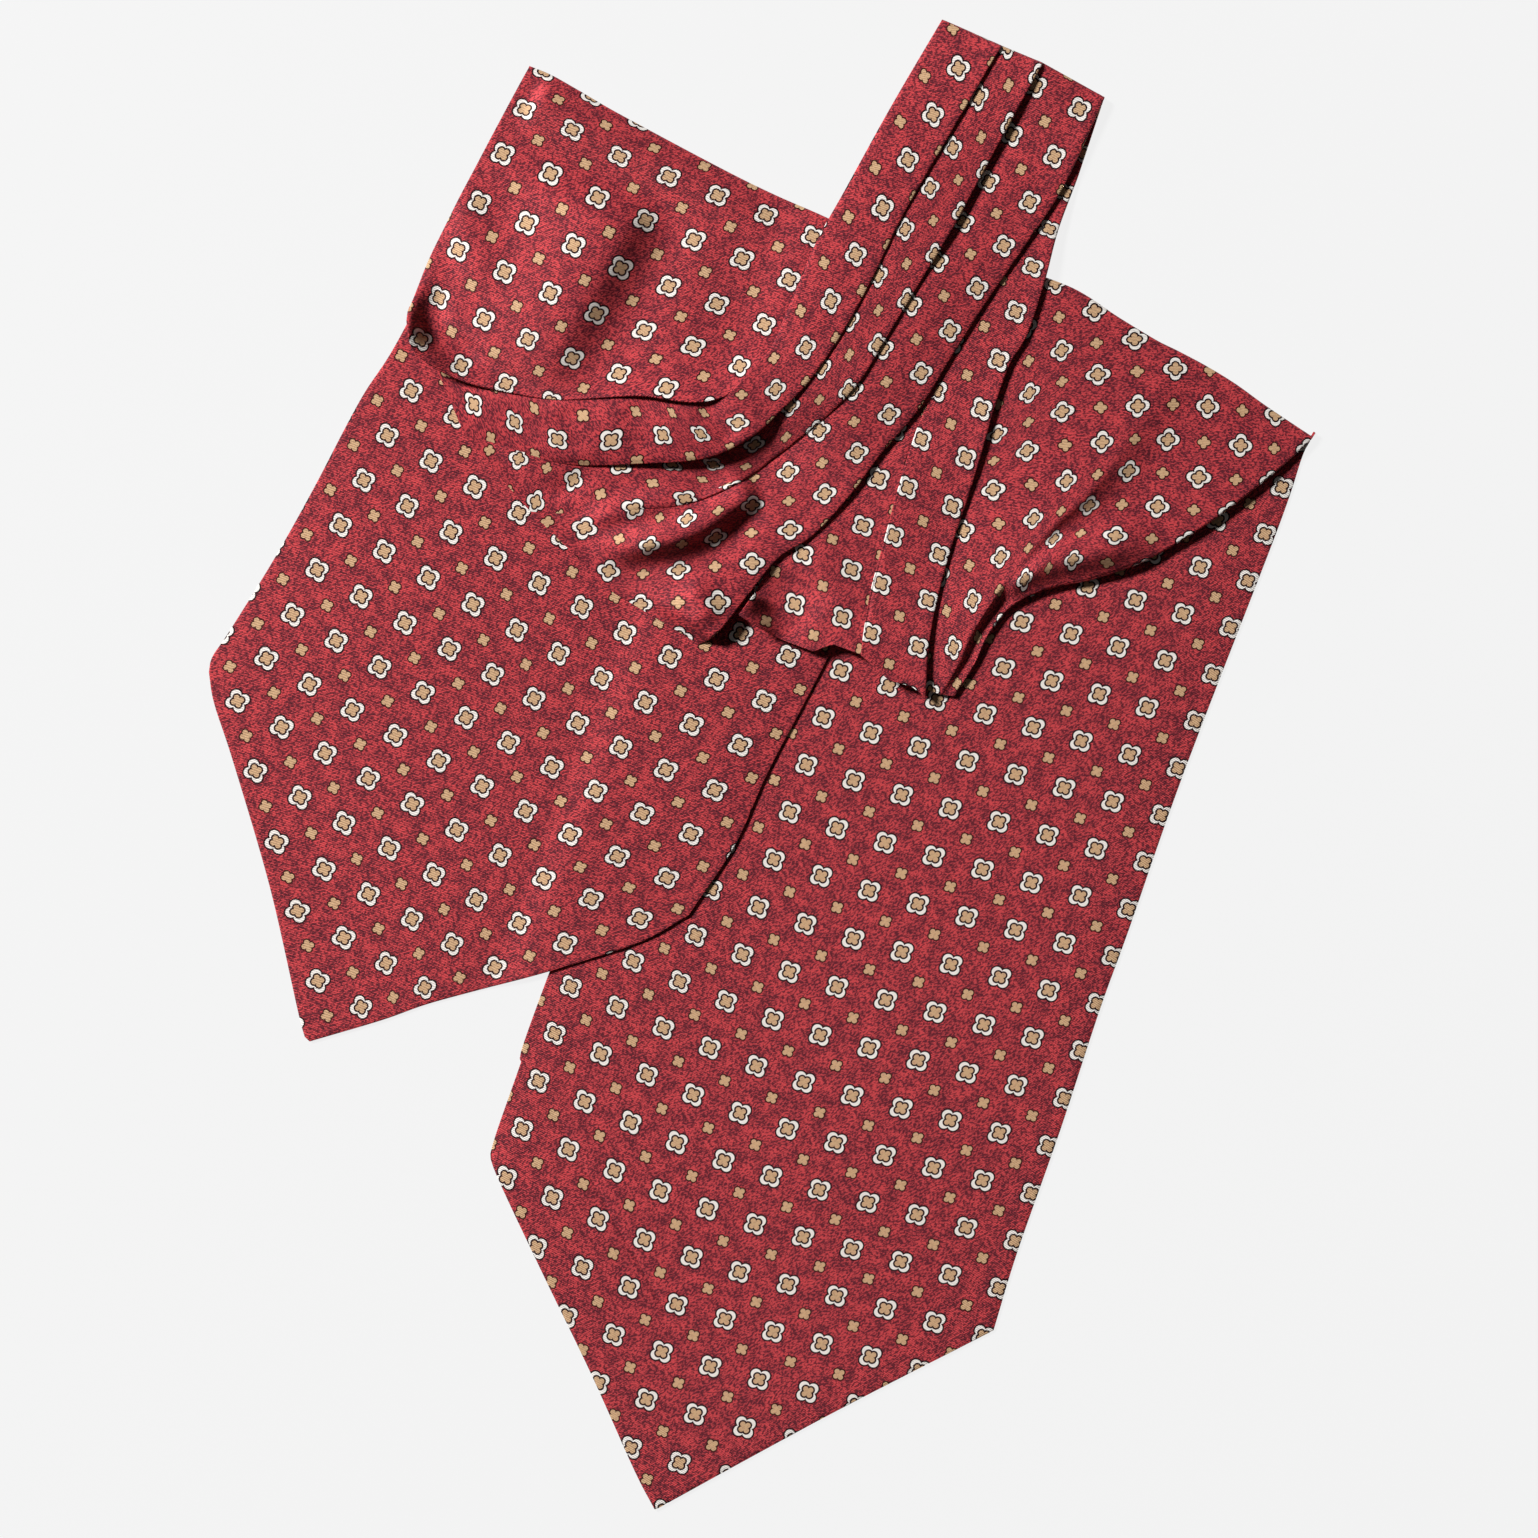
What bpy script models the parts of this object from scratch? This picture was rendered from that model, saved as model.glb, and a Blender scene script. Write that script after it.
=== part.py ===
"""A folded silk cravat: two pointed blades and the pleated neckband between them.

Every stretch of cloth is a wall two plies thick. The tables are in millimetres, with X to the
right and Y away from the viewer, seen from above. The cravat lies on the plane z = 0.
"""

import bpy
import bmesh
import numpy as np

MM = 0.001
WALL = 1.0            # two plies of silk twill, edges turned in
GAP = 0.35            # air between stretches that lie on each other
LAYER = WALL + GAP
FLOOR = WALL / 2      # middle of a wall that rests on the surface
STEP = 1.75           # height of a pleat's fold over the strip beside it
FOLD_RADIUS = LAYER / 2
FOLD_REACH = FOLD_RADIUS + WALL / 2
FOLD_GAP = 0.75       # between a blade's top edge and the wall that turns over beside it
TURN_STEPS = 6        # faces round a fold
STEPS = 4             # rows between two sections of a pleated stretch
EDGE_FADE = 8         # how soon a side edge leaves the inset end of a fold
TUCKED = 5.0          # how far a strip runs on under the next one
BUTTED = -0.35        # the same, where two strips only meet
CLOTH_RED = (0.36, 0.035, 0.055, 1.0)

# Outlines, from the top of the cravat to its points.
RIGHT_BLADE_TOP = ((21, 158), (52.5, 149), (84, 142.5), (91.5, 139.5), (97.5, 136), (104, 131.5),
                   (115.5, 124.5), (121.5, 121.5), (130, 117), (139, 111.5), (148, 105), (161.5, 96))
RIGHT_BLADE_LEFT = ((21, 158), (-62, -61), (-69, -83.5), (-77.5, -108), (-78.5, -113))
RIGHT_BLADE_RIGHT = ((161.5, 96), (158.5, 90), (151, 68.5), (124, -1.5), (107.5, -48.5), (99, -72),
                     (87.5, -107), (75, -142.5), (68, -165.5))
RIGHT_BLADE_POINT = (((-78.5, -113), (-78, -118.5), (-64.5, -147.5), (-49.8, -178), (-37, -206.5),
                      (-31, -218)),
                     ((-31, -218), (-1, -201.5), (26, -187), (68, -165.5)))
LEFT_BLADE_TOP = ((-67.5, 204.5), (-4.5, 171), (19.5, 160), (71.5, 133.5))
LEFT_BLADE_LEFT = ((-67.5, 204.5), (-102.5, 131), (-117.3, 106.5), (-131, 80.5), (-142.5, 60),
                   (-155.5, 39), (-160.5, 31.5), (-161.5, 27))
LEFT_BLADE_RIGHT = ((71.5, 133.5), (19.5, 31), (2.5, -1.5), (-7.5, -23.5), (-21, -44))
LEFT_BLADE_POINT = (((-161.5, 27), (-160, 18), (-154.3, 0.5), (-143.5, -36.5), (-134.5, -76),
                     (-132, -81)),
                    ((-132, -81), (-111, -74.8), (-98, -70.2), (-83.5, -66.2), (-62, -60.5),
                     (-35.5, -52), (-21, -44)))

# The left blade climbs on to the right blade beside this line, left of its hidden edge.
RAMP_LINE = ((21, 158), (-62, -61))
RAMP_FROM = -17.0
RAMP_TO = -4.5

# Turned-over blade at the top left. Its lower edge lies over the upper pleat's fan.
PANEL_FOLD = ((-67.5, 204.5), (-40, 189.5), (-4.5, 171), (19.5, 160), (24, 157.5))
PANEL_LEFT = ((-67.5, 204.5), (-80, 181), (-91.5, 158.5), (-97.5, 146), (-102.5, 132))
PANEL_RIGHT = ((24, 157.5), (20, 150), (12.5, 135.5), (5.5, 127), (1.5, 120.5), (-9, 108.5))
PANEL_LOWER = ((-102.5, 132), (-102.5, 127.5), (-100, 119.5), (-88, 112.5), (-72, 108.5),
               (-57.5, 106.5), (-35.5, 107.5), (-21, 105.5), (-9, 108.5))
PANEL_RIGHT_HEIGHTS = (3.2, 3.2, 3.25, 3.6, 4.2, 4.6)
PANEL_RIGHT_FADE = 6
PANEL_LOWER_FADE = 5
PANEL_LOWER_HEIGHTS = (4.6, 6.2, 6.0, 4.8, 4.3, 4.3, 4.7, 5.2, 4.6)

# Neckband front: sections from its top fold to the open end of the fan. a is the band's left
# edge, b, c and d are the folded edges of the three strips, then the height of each edge, and
# how far the middle of each strip swells.
FRONT_COLUMNS = ("ax", "ay", "bx", "by", "cx", "cy", "dx", "dy",
                 "a_height", "b_height", "c_height", "d_height", "a_tuck", "tuck", "swell", "trough")
FRONT_SECTIONS = (
    (53.0, 217.85, 70.5, 210.0, 82.5, 205.0, 100.5, 195.0, 2.0, 3.7, 3.7, 2.4, 0.0, BUTTED, 0.0, 0.0),
    (38.2, 192.5, 55.0, 183.5, 68.0, 178.5, 88.5, 169.0, 2.6, 4.7, 4.7, 3.2, 0.0, TUCKED, 0.1, 0.0),
    (24.8, 168.0, 41.5, 160.0, 55.5, 155.5, 76.5, 150.5, 4.8, 6.7, 6.7, 5.2, 0.0, TUCKED, 0.1, 0.0),
    (16.0, 152.0, 32.5, 141.5, 45.5, 139.0, 65.5, 134.5, 5.1, 7.0, 7.0, 5.9, 0.0, TUCKED, 0.1, 0.0),
    (8.5, 134.5, 24.0, 126.0, 36.5, 124.0, 56.0, 119.5, 5.1, 7.0, 7.0, 6.0, 0.0, TUCKED, 0.2, 0.0),
    (3.0, 121.5, 14.5, 112.0, 28.0, 110.5, 46.0, 103.5, 5.1, 7.0, 7.1, 6.1, 0.0, TUCKED, 0.2, 0.0),
    (-2.5, 115.0, 6.0, 103.0, 16.0, 98.5, 35.0, 90.5, 5.0, 7.0, 7.2, 6.2, -0.2, 4.5, 0.3, 0.1),
    (-8.5, 108.5, -3.0, 95.0, 4.0, 89.5, 26.5, 79.0, 4.5, 6.9, 7.2, 6.3, -0.2, 2.5, 0.5, 0.5),
    (-16.0, 105.0, -16.5, 89.0, -5.5, 82.5, 15.5, 67.0, 3.6, 6.5, 7.2, 6.3, -0.4, 3.5, 0.7, 1.0),
    (-32.5, 107.0, -37.5, 87.5, -21.5, 76.0, 5.5, 60.5, 2.4, 5.8, 6.7, 6.3, 2.0, 4.5, 0.8, 1.4),
    (-47.0, 107.0, -56.5, 87.5, -41.0, 74.0, -2.5, 51.0, 1.9, 4.9, 5.5, 5.8, 4.0, TUCKED, 0.8, 1.3),
    (-64.5, 107.5, -70.5, 91.5, -53.0, 73.5, -9.0, 42.5, 1.9, 4.2, 4.6, 5.3, 4.0, 4.0, 0.6, 0.9),
    (-82.0, 110.5, -79.5, 94.5, -61.5, 73.5, -13.5, 37.5, 1.9, 3.9, 4.1, 4.6, 4.0, 3.0, 0.4, 0.4),
    (-95.0, 116.0, -86.5, 96.0, -67.5, 74.0, -18.0, 35.0, 1.9, 3.8, 3.8, 3.8, 2.0, 2.0, 0.0, 0.0),
)
TROUGH_AT = 0.28      # where the lower strip dips, as a share of its width
TROUGH_REACH = 0.3
# How far the open end of the lower strip bulges past the straight line between its corners.
END_BULGE = ((0.0, 0.0), (0.3, 2.0), (0.55, 3.6), (0.8, 1.6), (1.0, 0.0))
END_OUTWARD = (-0.62, -0.785)
END_ROWS = 8

# Neckband back: left edge, pleat line and right edge, with heights. pleat_rise lifts the right
# strip's folded edge over the left strip.
BACK_COLUMNS = ("ax", "ay", "bx", "by", "cx", "cy",
                "a_height", "b_height", "c_height", "pleat_rise", "tuck")
BACK_SECTIONS = (
    (53.0, 217.85, 85.5, 202.5, 100.5, 195.0, 0.5, 0.5, 0.5, 0.0, BUTTED),
    (39.5, 192.0, 78.5, 179.5, 93.5, 174.0, 0.7, 0.6, 0.6, 0.0, BUTTED),
    (31.0, 166.0, 71.0, 158.5, 87.0, 156.5, 2.6, 2.2, 2.0, 0.0, BUTTED),
    (26.0, 148.5, 64.0, 140.5, 83.0, 141.5, 3.2, 3.2, 3.4, 0.0, BUTTED),
    (19.5, 131.0, 56.5, 122.5, 78.0, 126.0, 3.2, 3.2, 3.9, 0.0, BUTTED),
    (14.0, 118.0, 52.0, 111.5, 72.5, 116.5, 3.2, 3.2, 4.1, 0.0, BUTTED),
    (11.0, 108.0, 47.0, 101.5, 68.0, 103.5, 3.2, 3.2, 4.3, 0.5, BUTTED),
    (10.0, 98.0, 43.5, 92.0, 64.5, 91.0, 3.2, 3.2, 4.4, 1.5, BUTTED),
    (9.5, 86.0, 39.5, 79.0, 60.5, 78.0, 3.2, 3.2, 4.4, 1.8, 4.0),
    (7.0, 71.5, 35.5, 64.0, 56.0, 64.5, 3.2, 3.2, 4.4, 1.8, 4.0),
    (3.0, 60.0, 32.0, 51.0, 51.5, 48.0, 3.2, 3.2, 4.4, 1.8, 4.0),
    (-1.5, 50.5, 30.0, 39.5, 49.0, 34.0, 3.2, 3.5, 4.4, 1.8, 4.0),
    (-6.5, 43.5, 29.0, 32.0, 48.0, 19.5, 3.4, 4.2, 4.2, 1.6, 2.0),
)
# How far the bottom fold of each back strip sags below the straight line between its corners.
LIP_SAG_LEFT = ((0.0, 0.0), (0.12, -1.5), (0.35, -3.0), (0.6, -3.5), (0.75, 0.5), (1.0, 0.0))
LIP_SAG_RIGHT = ((0.0, 0.0), (0.2, -0.5), (0.45, -2.0), (0.75, 0.5), (1.0, 0.0))
LIP_ROWS = 10
LIP_UPWARD = (0.0, 1.0)

# Turned-over blade at the top right: hidden edge, ridge and right edge, with heights.
FAN_COLUMNS = ("ax", "ay", "bx", "by", "cx", "cy", "b_height", "valley_height", "c_height")
FAN_SECTIONS = (
    (79.5, 144.0, 122.5, 121.0, 161.5, 96.0, 1.85, 1.85, 1.85),
    (75.0, 125.5, 114.0, 106.5, 146.0, 82.5, 2.6, 2.4, 2.3),
    (69.5, 109.5, 106.5, 93.0, 129.5, 70.0, 3.4, 2.6, 2.8),
    (63.5, 93.5, 97.0, 80.5, 112.5, 60.0, 4.2, 2.4, 3.1),
    (57.0, 79.0, 86.0, 70.0, 97.5, 54.5, 4.7, 2.2, 3.2),
    (50.5, 64.0, 76.0, 59.0, 84.0, 51.5, 4.7, 2.1, 3.0),
    (44.5, 51.0, 68.0, 48.5, 73.5, 46.5, 4.4, 2.0, 2.7),
    (40.5, 39.0, 62.0, 39.0, 66.5, 38.0, 4.0, 2.0, 2.4),
    (39.5, 30.0, 58.0, 30.0, 62.5, 29.5, 3.4, 2.0, 2.2),
    (43.5, 23.5, 52.5, 20.5, 56.5, 20.0, 2.4, 1.9, 1.95),
)
FAN_FOLD = ((79.5, 144), (84, 142.5), (91.5, 139.5), (97.5, 136), (104, 131.5), (115.5, 124.5),
            (121.5, 121.5), (130, 117), (139, 111.5), (148, 105), (161.5, 96))
FAN_FOLD_ROWS = 6

# Soft folds that cross a stretch: both ends, half the width of the swell, and its height.
FOLD_COLUMNS = ("x0", "y0", "x1", "y1", "half_width", "height")
PANEL_FOLDS = (
    (-60.0, 178.0, -62.0, 120.0, 13.0, 1.6),
    (-25.0, 160.0, -30.0, 118.0, 12.0, 1.4),
    (-85.0, 165.0, -84.0, 130.0, 9.0, 0.8),
)
# The free corner of the turned-over blade curls up: centre, reach and height.
CORNER_CURL = (-104.0, 126.5, 11.0, 2.4)


def ease(value):
    value = np.clip(value, 0.0, 1.0)
    return value * value * (3.0 - 2.0 * value)


def smoothed(points, steps):
    """The rows of points with steps - 1 more between each two, on a smooth curve."""
    points = np.asarray(points, float)
    ends = np.vstack([2 * points[0] - points[1], points, 2 * points[-1] - points[-2]])
    before, here, there, after = ends[:-3], ends[1:-2], ends[2:-1], ends[3:]
    rows = []
    for t in np.arange(steps) / steps:
        rows.append(0.5 * (2 * here + (there - before) * t
                           + (2 * before - 5 * here + 4 * there - after) * t ** 2
                           + (3 * here - before - 3 * there + after) * t ** 3))
    curve = np.stack(rows, axis=1).reshape(-1, points.shape[1])
    return np.vstack([curve, points[-1]])


def evenly(points, count, steps=12):
    """count points at even distances along the smooth curve through points."""
    curve = smoothed(points, steps)
    lengths = np.linalg.norm(np.diff(curve[:, :2], axis=0), axis=1)
    along = np.concatenate([[0.0], np.cumsum(lengths)])
    at = np.linspace(0.0, along[-1], count)
    return np.stack([np.interp(at, along, curve[:, k]) for k in range(curve.shape[1])], axis=1)


def with_corner(sides, counts):
    """One edge from two sides that meet at a sharp corner."""
    first, second = (evenly(side, count) for side, count in zip(sides, counts))
    return np.vstack([first, second[1:]])


def columns_of(names, sections, steps):
    """The named columns of a table of sections, smoothed along the stretch."""
    return dict(zip(names, smoothed(sections, steps).T))


def between_edges(top, bottom, left, right):
    """Plan points spread between four edges, in rows from top to bottom."""
    t = np.linspace(0.0, 1.0, len(left))[:, None, None]
    s = np.linspace(0.0, 1.0, len(top))[None, :, None]
    ends = (1 - t) * top[None] + t * bottom[None]
    sides = (1 - s) * left[:, None] + s * right[:, None]
    corners = ((1 - s) * (1 - t) * top[0] + s * (1 - t) * top[-1]
               + (1 - s) * t * bottom[0] + s * t * bottom[-1])
    return ends + sides - corners


def inward_of(edge, towards):
    """Unit vectors square to an edge in plan, on the side of the point towards."""
    along = np.gradient(edge[:, :2], axis=0)
    square = np.stack([-along[:, 1], along[:, 0]], axis=1)
    square /= np.linalg.norm(square, axis=1)[:, None]
    side = np.sign(((np.asarray(towards) - edge[:, :2]) * square).sum(axis=1).mean())
    return square * side


def ramp_height(plan):
    """How far the left blade is lifted where it lies on the right blade."""
    start, end = np.asarray(RAMP_LINE, float)
    along = (end - start) / np.linalg.norm(end - start)
    across = (plan[..., 0] - start[0]) * -along[1] + (plan[..., 1] - start[1]) * along[0]
    return LAYER * ease((across - RAMP_FROM) / (RAMP_TO - RAMP_FROM))


def soft_folds(plan, folds):
    """Height of the soft folds of a table, each one fading out towards its ends."""
    height = np.zeros(plan.shape[:-1])
    for row in folds:
        fold = dict(zip(FOLD_COLUMNS, row))
        start = np.array([fold["x0"], fold["y0"]])
        run = np.array([fold["x1"], fold["y1"]]) - start
        share = np.clip(((plan - start) @ run) / (run @ run), 0.0, 1.0)
        away = np.linalg.norm(plan - start - share[..., None] * run, axis=-1)
        height += fold["height"] * ease(1.0 - away / fold["half_width"])
    return height


def strip_rows(left, right, left_height, right_height, tuck, shares, swell):
    """Plan points and heights of one strip, run on under its neighbour on the left."""
    run = right - left
    width = np.linalg.norm(run, axis=1)[:, None]
    start = left - run / width * tuck[:, None]
    share = shares[None, :, None]
    plan = start[:, None] * (1 - share) + right[:, None] * share
    crown = np.sin(np.pi * shares)[None] * swell[:, None]
    height = left_height[:, None] + (right_height - left_height)[:, None] * shares[None] + crown
    return np.dstack([plan, height])


def under_edge(height, outer_height, outer, edge, tuck):
    """Height of a strip's tucked end, which follows the slope of the strip that covers it."""
    slope = (height - outer_height) / np.linalg.norm(edge - outer, axis=1)
    return height - STEP - slope * tuck


def turned_down(grid, drop=0.6):
    """The strip with its right edge turned down, as a pressed fold is."""
    edge, before = grid[:, -1], grid[:, -2]
    out = edge - before
    out[:, 2] = 0.0
    out /= np.linalg.norm(out, axis=1)[:, None]
    fall = np.clip(edge[:, 2] - WALL, 0.0, drop)
    rows = []
    for reach, share in ((1.3, 0.0), (0.62, 0.35), (0.45, 1.0)):
        row = edge - out * reach
        row[:, 2] = edge[:, 2] - fall * share
        rows.append(row[:, None])
    return np.concatenate([grid[:, :-1]] + rows, axis=1)


def turned_end(grid, target):
    """The strip with its first row drawn down towards the fold at the end of the band."""
    first = grid[0].copy()
    second = grid[0] * 0.93 + grid[1] * 0.07
    first[:, 2] = target + 0.3 * (first[:, 2] - target)
    second[:, 2] = 0.75 * second[:, 2] + 0.25 * first[:, 2]
    return np.concatenate([first[None], second[None], grid[1:]])


def shifted_end(grid, table, direction, rows):
    """The strip with its last rows moved by a table of shares of its width and distances."""
    shares, offsets = np.array(table).T
    moved = np.interp(np.linspace(0, 1, grid.shape[1]), shares, offsets)
    near = ease(np.linspace(1 - (len(grid) - 1) / rows, 1, len(grid)))
    grid = grid.copy()
    grid[..., :2] += (near[:, None] * moved[None])[..., None] * np.asarray(direction)
    return grid


def rolled_fold(line, inward, base):
    """Rows of a wall that turns over a fold, from under it to its top."""
    axis = line + inward * FOLD_REACH
    rows = []
    for angle in np.linspace(-np.pi / 2, np.pi / 2, TURN_STEPS + 1):
        plan = axis - inward * FOLD_RADIUS * np.cos(angle)
        height = base + FOLD_RADIUS + FOLD_RADIUS * np.sin(angle)
        rows.append(np.column_stack([plan, height]))
    return np.array(rows)


def cloth_material(name, shade):
    material = bpy.data.materials.new(name)
    material.use_nodes = True
    surface = material.node_tree.nodes["Principled BSDF"]
    red, green, blue, alpha = CLOTH_RED
    surface.inputs["Base Color"].default_value = (red * shade, green * shade, blue * shade, alpha)
    surface.inputs["Roughness"].default_value = 0.42
    surface.inputs["Metallic"].default_value = 0.0
    return material


def add_stretch(name, grid, parent, collection, shade):
    """A stretch of cloth: a grid moved on to the given points, then made a wall."""
    rows, cols = grid.shape[:2]
    shape = bmesh.new()
    bmesh.ops.create_grid(shape, x_segments=cols - 1, y_segments=rows - 1, size=1.0)
    anchor = grid[0, 0] * MM
    anchor[2] = 0.0
    for point in shape.verts:
        col = round((point.co.x + 1.0) / 2.0 * (cols - 1))
        row = round((1.0 - point.co.y) / 2.0 * (rows - 1))
        point.co = grid[row, col] * MM - anchor
    mesh = bpy.data.meshes.new(name)
    shape.to_mesh(mesh)
    shape.free()
    mesh.shade_smooth()
    mesh.materials.append(cloth_material(name + "_silk", shade))
    stretch = bpy.data.objects.new(name, mesh)
    stretch.location = anchor
    stretch.parent = parent
    collection.objects.link(stretch)
    wall = stretch.modifiers.new("wall", "SOLIDIFY")
    wall.thickness = WALL * MM
    wall.offset = 0.0
    return stretch


def blade_plan(top, left, right, point, rows, cols):
    """Plan points of a pointed blade, its top edge kept clear of the wall that turns over it."""
    inside = np.mean(np.concatenate([left, right]), axis=0)
    top = evenly(top, 2 * cols - 1)
    top = top + inward_of(top, inside) * (FOLD_REACH + FOLD_GAP)
    fade = np.linspace(1, 0, rows)[:, None] ** EDGE_FADE
    left = evenly(left, rows)
    right = evenly(right, rows)
    left = left + (top[0] - left[0]) * fade
    right = right + (top[-1] - right[0]) * fade
    return between_edges(top, with_corner(point, (cols, cols)), left, right)


def right_blade():
    """The lowest stretch, flat on the surface, with its point at the bottom."""
    plan = blade_plan(RIGHT_BLADE_TOP, RIGHT_BLADE_LEFT, RIGHT_BLADE_RIGHT, RIGHT_BLADE_POINT, 17, 7)
    return np.dstack([plan, np.full(plan.shape[:2], FLOOR)])


def left_blade():
    """The blade with its point at the lower left, lying partly on the right blade."""
    plan = blade_plan(LEFT_BLADE_TOP, LEFT_BLADE_LEFT, LEFT_BLADE_RIGHT, LEFT_BLADE_POINT, 17, 10)
    return np.dstack([plan, FLOOR + ramp_height(plan)])


def left_panel():
    """The same blade turned over the straight fold, its lower edge over the fan."""
    cols, rows = 23, 21
    fold = evenly(PANEL_FOLD, cols)
    inward = inward_of(fold, (-60.0, 100.0))
    top = fold + inward * FOLD_REACH
    right_edge = evenly(np.column_stack([PANEL_RIGHT, PANEL_RIGHT_HEIGHTS]), rows)
    lower_edge = evenly(np.column_stack([PANEL_LOWER, PANEL_LOWER_HEIGHTS]), cols)
    left = evenly(PANEL_LEFT, rows)
    fade = np.linspace(1, 0, rows)[:, None] ** EDGE_FADE
    left = left + (top[0] - left[0]) * fade
    right = right_edge[:, :2] + (top[-1] - right_edge[0, :2]) * fade
    plan = between_edges(top, lower_edge[:, :2], left, right)
    base = FLOOR + ramp_height(plan) + LAYER
    share_right = np.linspace(0, 1, cols)[None] ** PANEL_RIGHT_FADE
    share_lower = np.linspace(0, 1, rows)[:, None] ** PANEL_LOWER_FADE
    rise_right = (right_edge[:, 2] - base[:, -1])[:, None]
    rise_lower = (lower_edge[:, 2] - base[-1])[None]
    rise_corner = right_edge[-1, 2] - base[-1, -1]
    rise = rise_right * share_right + rise_lower * share_lower - rise_corner * share_right * share_lower
    free = (1 - share_right) * (1 - share_lower) * ease(np.linspace(0, 5, rows))[:, None]
    curl_x, curl_y, curl_reach, curl_height = CORNER_CURL
    from_corner = np.hypot(plan[..., 0] - curl_x, plan[..., 1] - curl_y)
    curl = curl_height * ease(1.0 - from_corner / curl_reach)
    height = base + rise + free * soft_folds(plan, PANEL_FOLDS) + curl
    grid = np.dstack([plan, height])
    turn = rolled_fold(fold, inward, FLOOR + ramp_height(top))
    return np.concatenate([turn[:-1], grid])


def front_strips():
    """The three knife-pleated strips of the neckband's front, opening into the fan."""
    cut = columns_of(FRONT_COLUMNS, FRONT_SECTIONS, STEPS)
    a, b, c, d = (np.column_stack([cut[k + "x"], cut[k + "y"]]) for k in "abcd")
    tuck = cut["tuck"]
    upper = strip_rows(a, b, cut["a_height"], cut["b_height"], cut["a_tuck"],
                       np.linspace(0, 1, 6), cut["swell"])
    middle_start = under_edge(cut["b_height"], cut["a_height"], a, b, tuck)
    middle = strip_rows(b, c, middle_start, cut["c_height"], tuck,
                        np.linspace(0, 1, 7), cut["swell"])
    lower_start = under_edge(cut["c_height"], cut["b_height"] - STEP, b, c, tuck)
    shares = np.linspace(0, 1, 9)
    lower = strip_rows(c, d, lower_start, cut["d_height"], tuck, shares, cut["swell"] * 1.5)
    dip = ease(1.0 - np.abs(shares - TROUGH_AT) / TROUGH_REACH)
    lower[..., 2] -= cut["trough"][:, None] * dip[None]
    lower = shifted_end(lower, END_BULGE, END_OUTWARD, END_ROWS)
    return tuple(turned_end(turned_down(strip), FLOOR + LAYER) for strip in (upper, middle, lower))


def back_strips():
    """The neckband's back stretch, its right strip folded over its left one."""
    cut = columns_of(BACK_COLUMNS, BACK_SECTIONS, STEPS)
    a, b, c = (np.column_stack([cut[k + "x"], cut[k + "y"]]) for k in "abc")
    flat = np.zeros(len(a))
    for edge in ("a_height", "b_height", "c_height"):
        cut[edge] = np.maximum(cut[edge], FLOOR)
    left = strip_rows(a, b, cut["a_height"], cut["b_height"], flat, np.linspace(0, 1, 8), flat)
    run = (b - a) / np.linalg.norm(b - a, axis=1)[:, None]
    left[..., :2] += (run * cut["tuck"][:, None])[:, None] * np.linspace(0, 1, 8)[None, :, None] ** 3
    right = strip_rows(b, c, cut["b_height"] + cut["pleat_rise"], cut["c_height"], flat,
                       np.linspace(0, 1, 6), flat)
    left = shifted_end(left, LIP_SAG_LEFT, LIP_UPWARD, LIP_ROWS)
    right = shifted_end(right, LIP_SAG_RIGHT, LIP_UPWARD, LIP_ROWS)
    return left, turned_down(right)


def right_fan():
    """The right blade turned over its fold and gathered towards the neckband."""
    cut = columns_of(FAN_COLUMNS, FAN_SECTIONS, STEPS)
    a, b, c = (np.column_stack([cut[k + "x"], cut[k + "y"]]) for k in "abc")
    run = c - b
    width = np.linalg.norm(run, axis=1)[:, None]
    foot = b + run / width * np.minimum(2.0, width * 0.3)
    base = FLOOR + LAYER
    rows = []
    for share in np.linspace(0, 1, 10):
        plan = a * (1 - share) + b * share
        lift = (cut["b_height"] - base) * ease((share - 0.35) / 0.65)
        rows.append(np.column_stack([plan, base + lift]))
    for share in (0.0, 0.33, 0.66, 1.0):
        plan = foot * (1 - share) + c * share
        height = cut["valley_height"] * (1 - share) + cut["c_height"] * share
        rows.append(np.column_stack([plan, height]))
    grid = np.stack(rows, axis=1)
    fold = evenly(FAN_FOLD, grid.shape[1])
    inward = inward_of(fold, (60.0, 0.0))
    start = fold + inward * FOLD_REACH
    near = ease(1.0 - np.arange(len(grid)) / FAN_FOLD_ROWS)[:, None, None]
    grid[..., :2] += near * (start - grid[0, :, :2])[None]
    turn = rolled_fold(fold, inward, np.full(len(fold), FLOOR))
    return np.concatenate([turn[:-1], grid])


def build():
    for thing in list(bpy.data.objects):
        bpy.data.objects.remove(thing, do_unlink=True)
    collection = bpy.data.collections.new("silk_cravat")
    bpy.context.scene.collection.children.link(collection)
    cravat = bpy.data.objects.new("cravat", None)
    collection.objects.link(cravat)
    upper, middle, lower = front_strips()
    back_left, back_right = back_strips()
    stretches = (
        ("right_blade", right_blade(), 1.0),
        ("right_fan", right_fan(), 1.1),
        ("left_blade", left_blade(), 0.95),
        ("left_panel", left_panel(), 1.1),
        ("back_pleat_left", back_left, 0.85),
        ("back_pleat_right", back_right, 0.9),
        ("front_pleat_lower", lower, 1.0),
        ("front_pleat_middle", middle, 1.05),
        ("front_pleat_upper", upper, 1.1),
    )
    for name, grid, shade in stretches:
        add_stretch(name, grid, cravat, collection, shade)


build()
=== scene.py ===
import math

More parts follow.
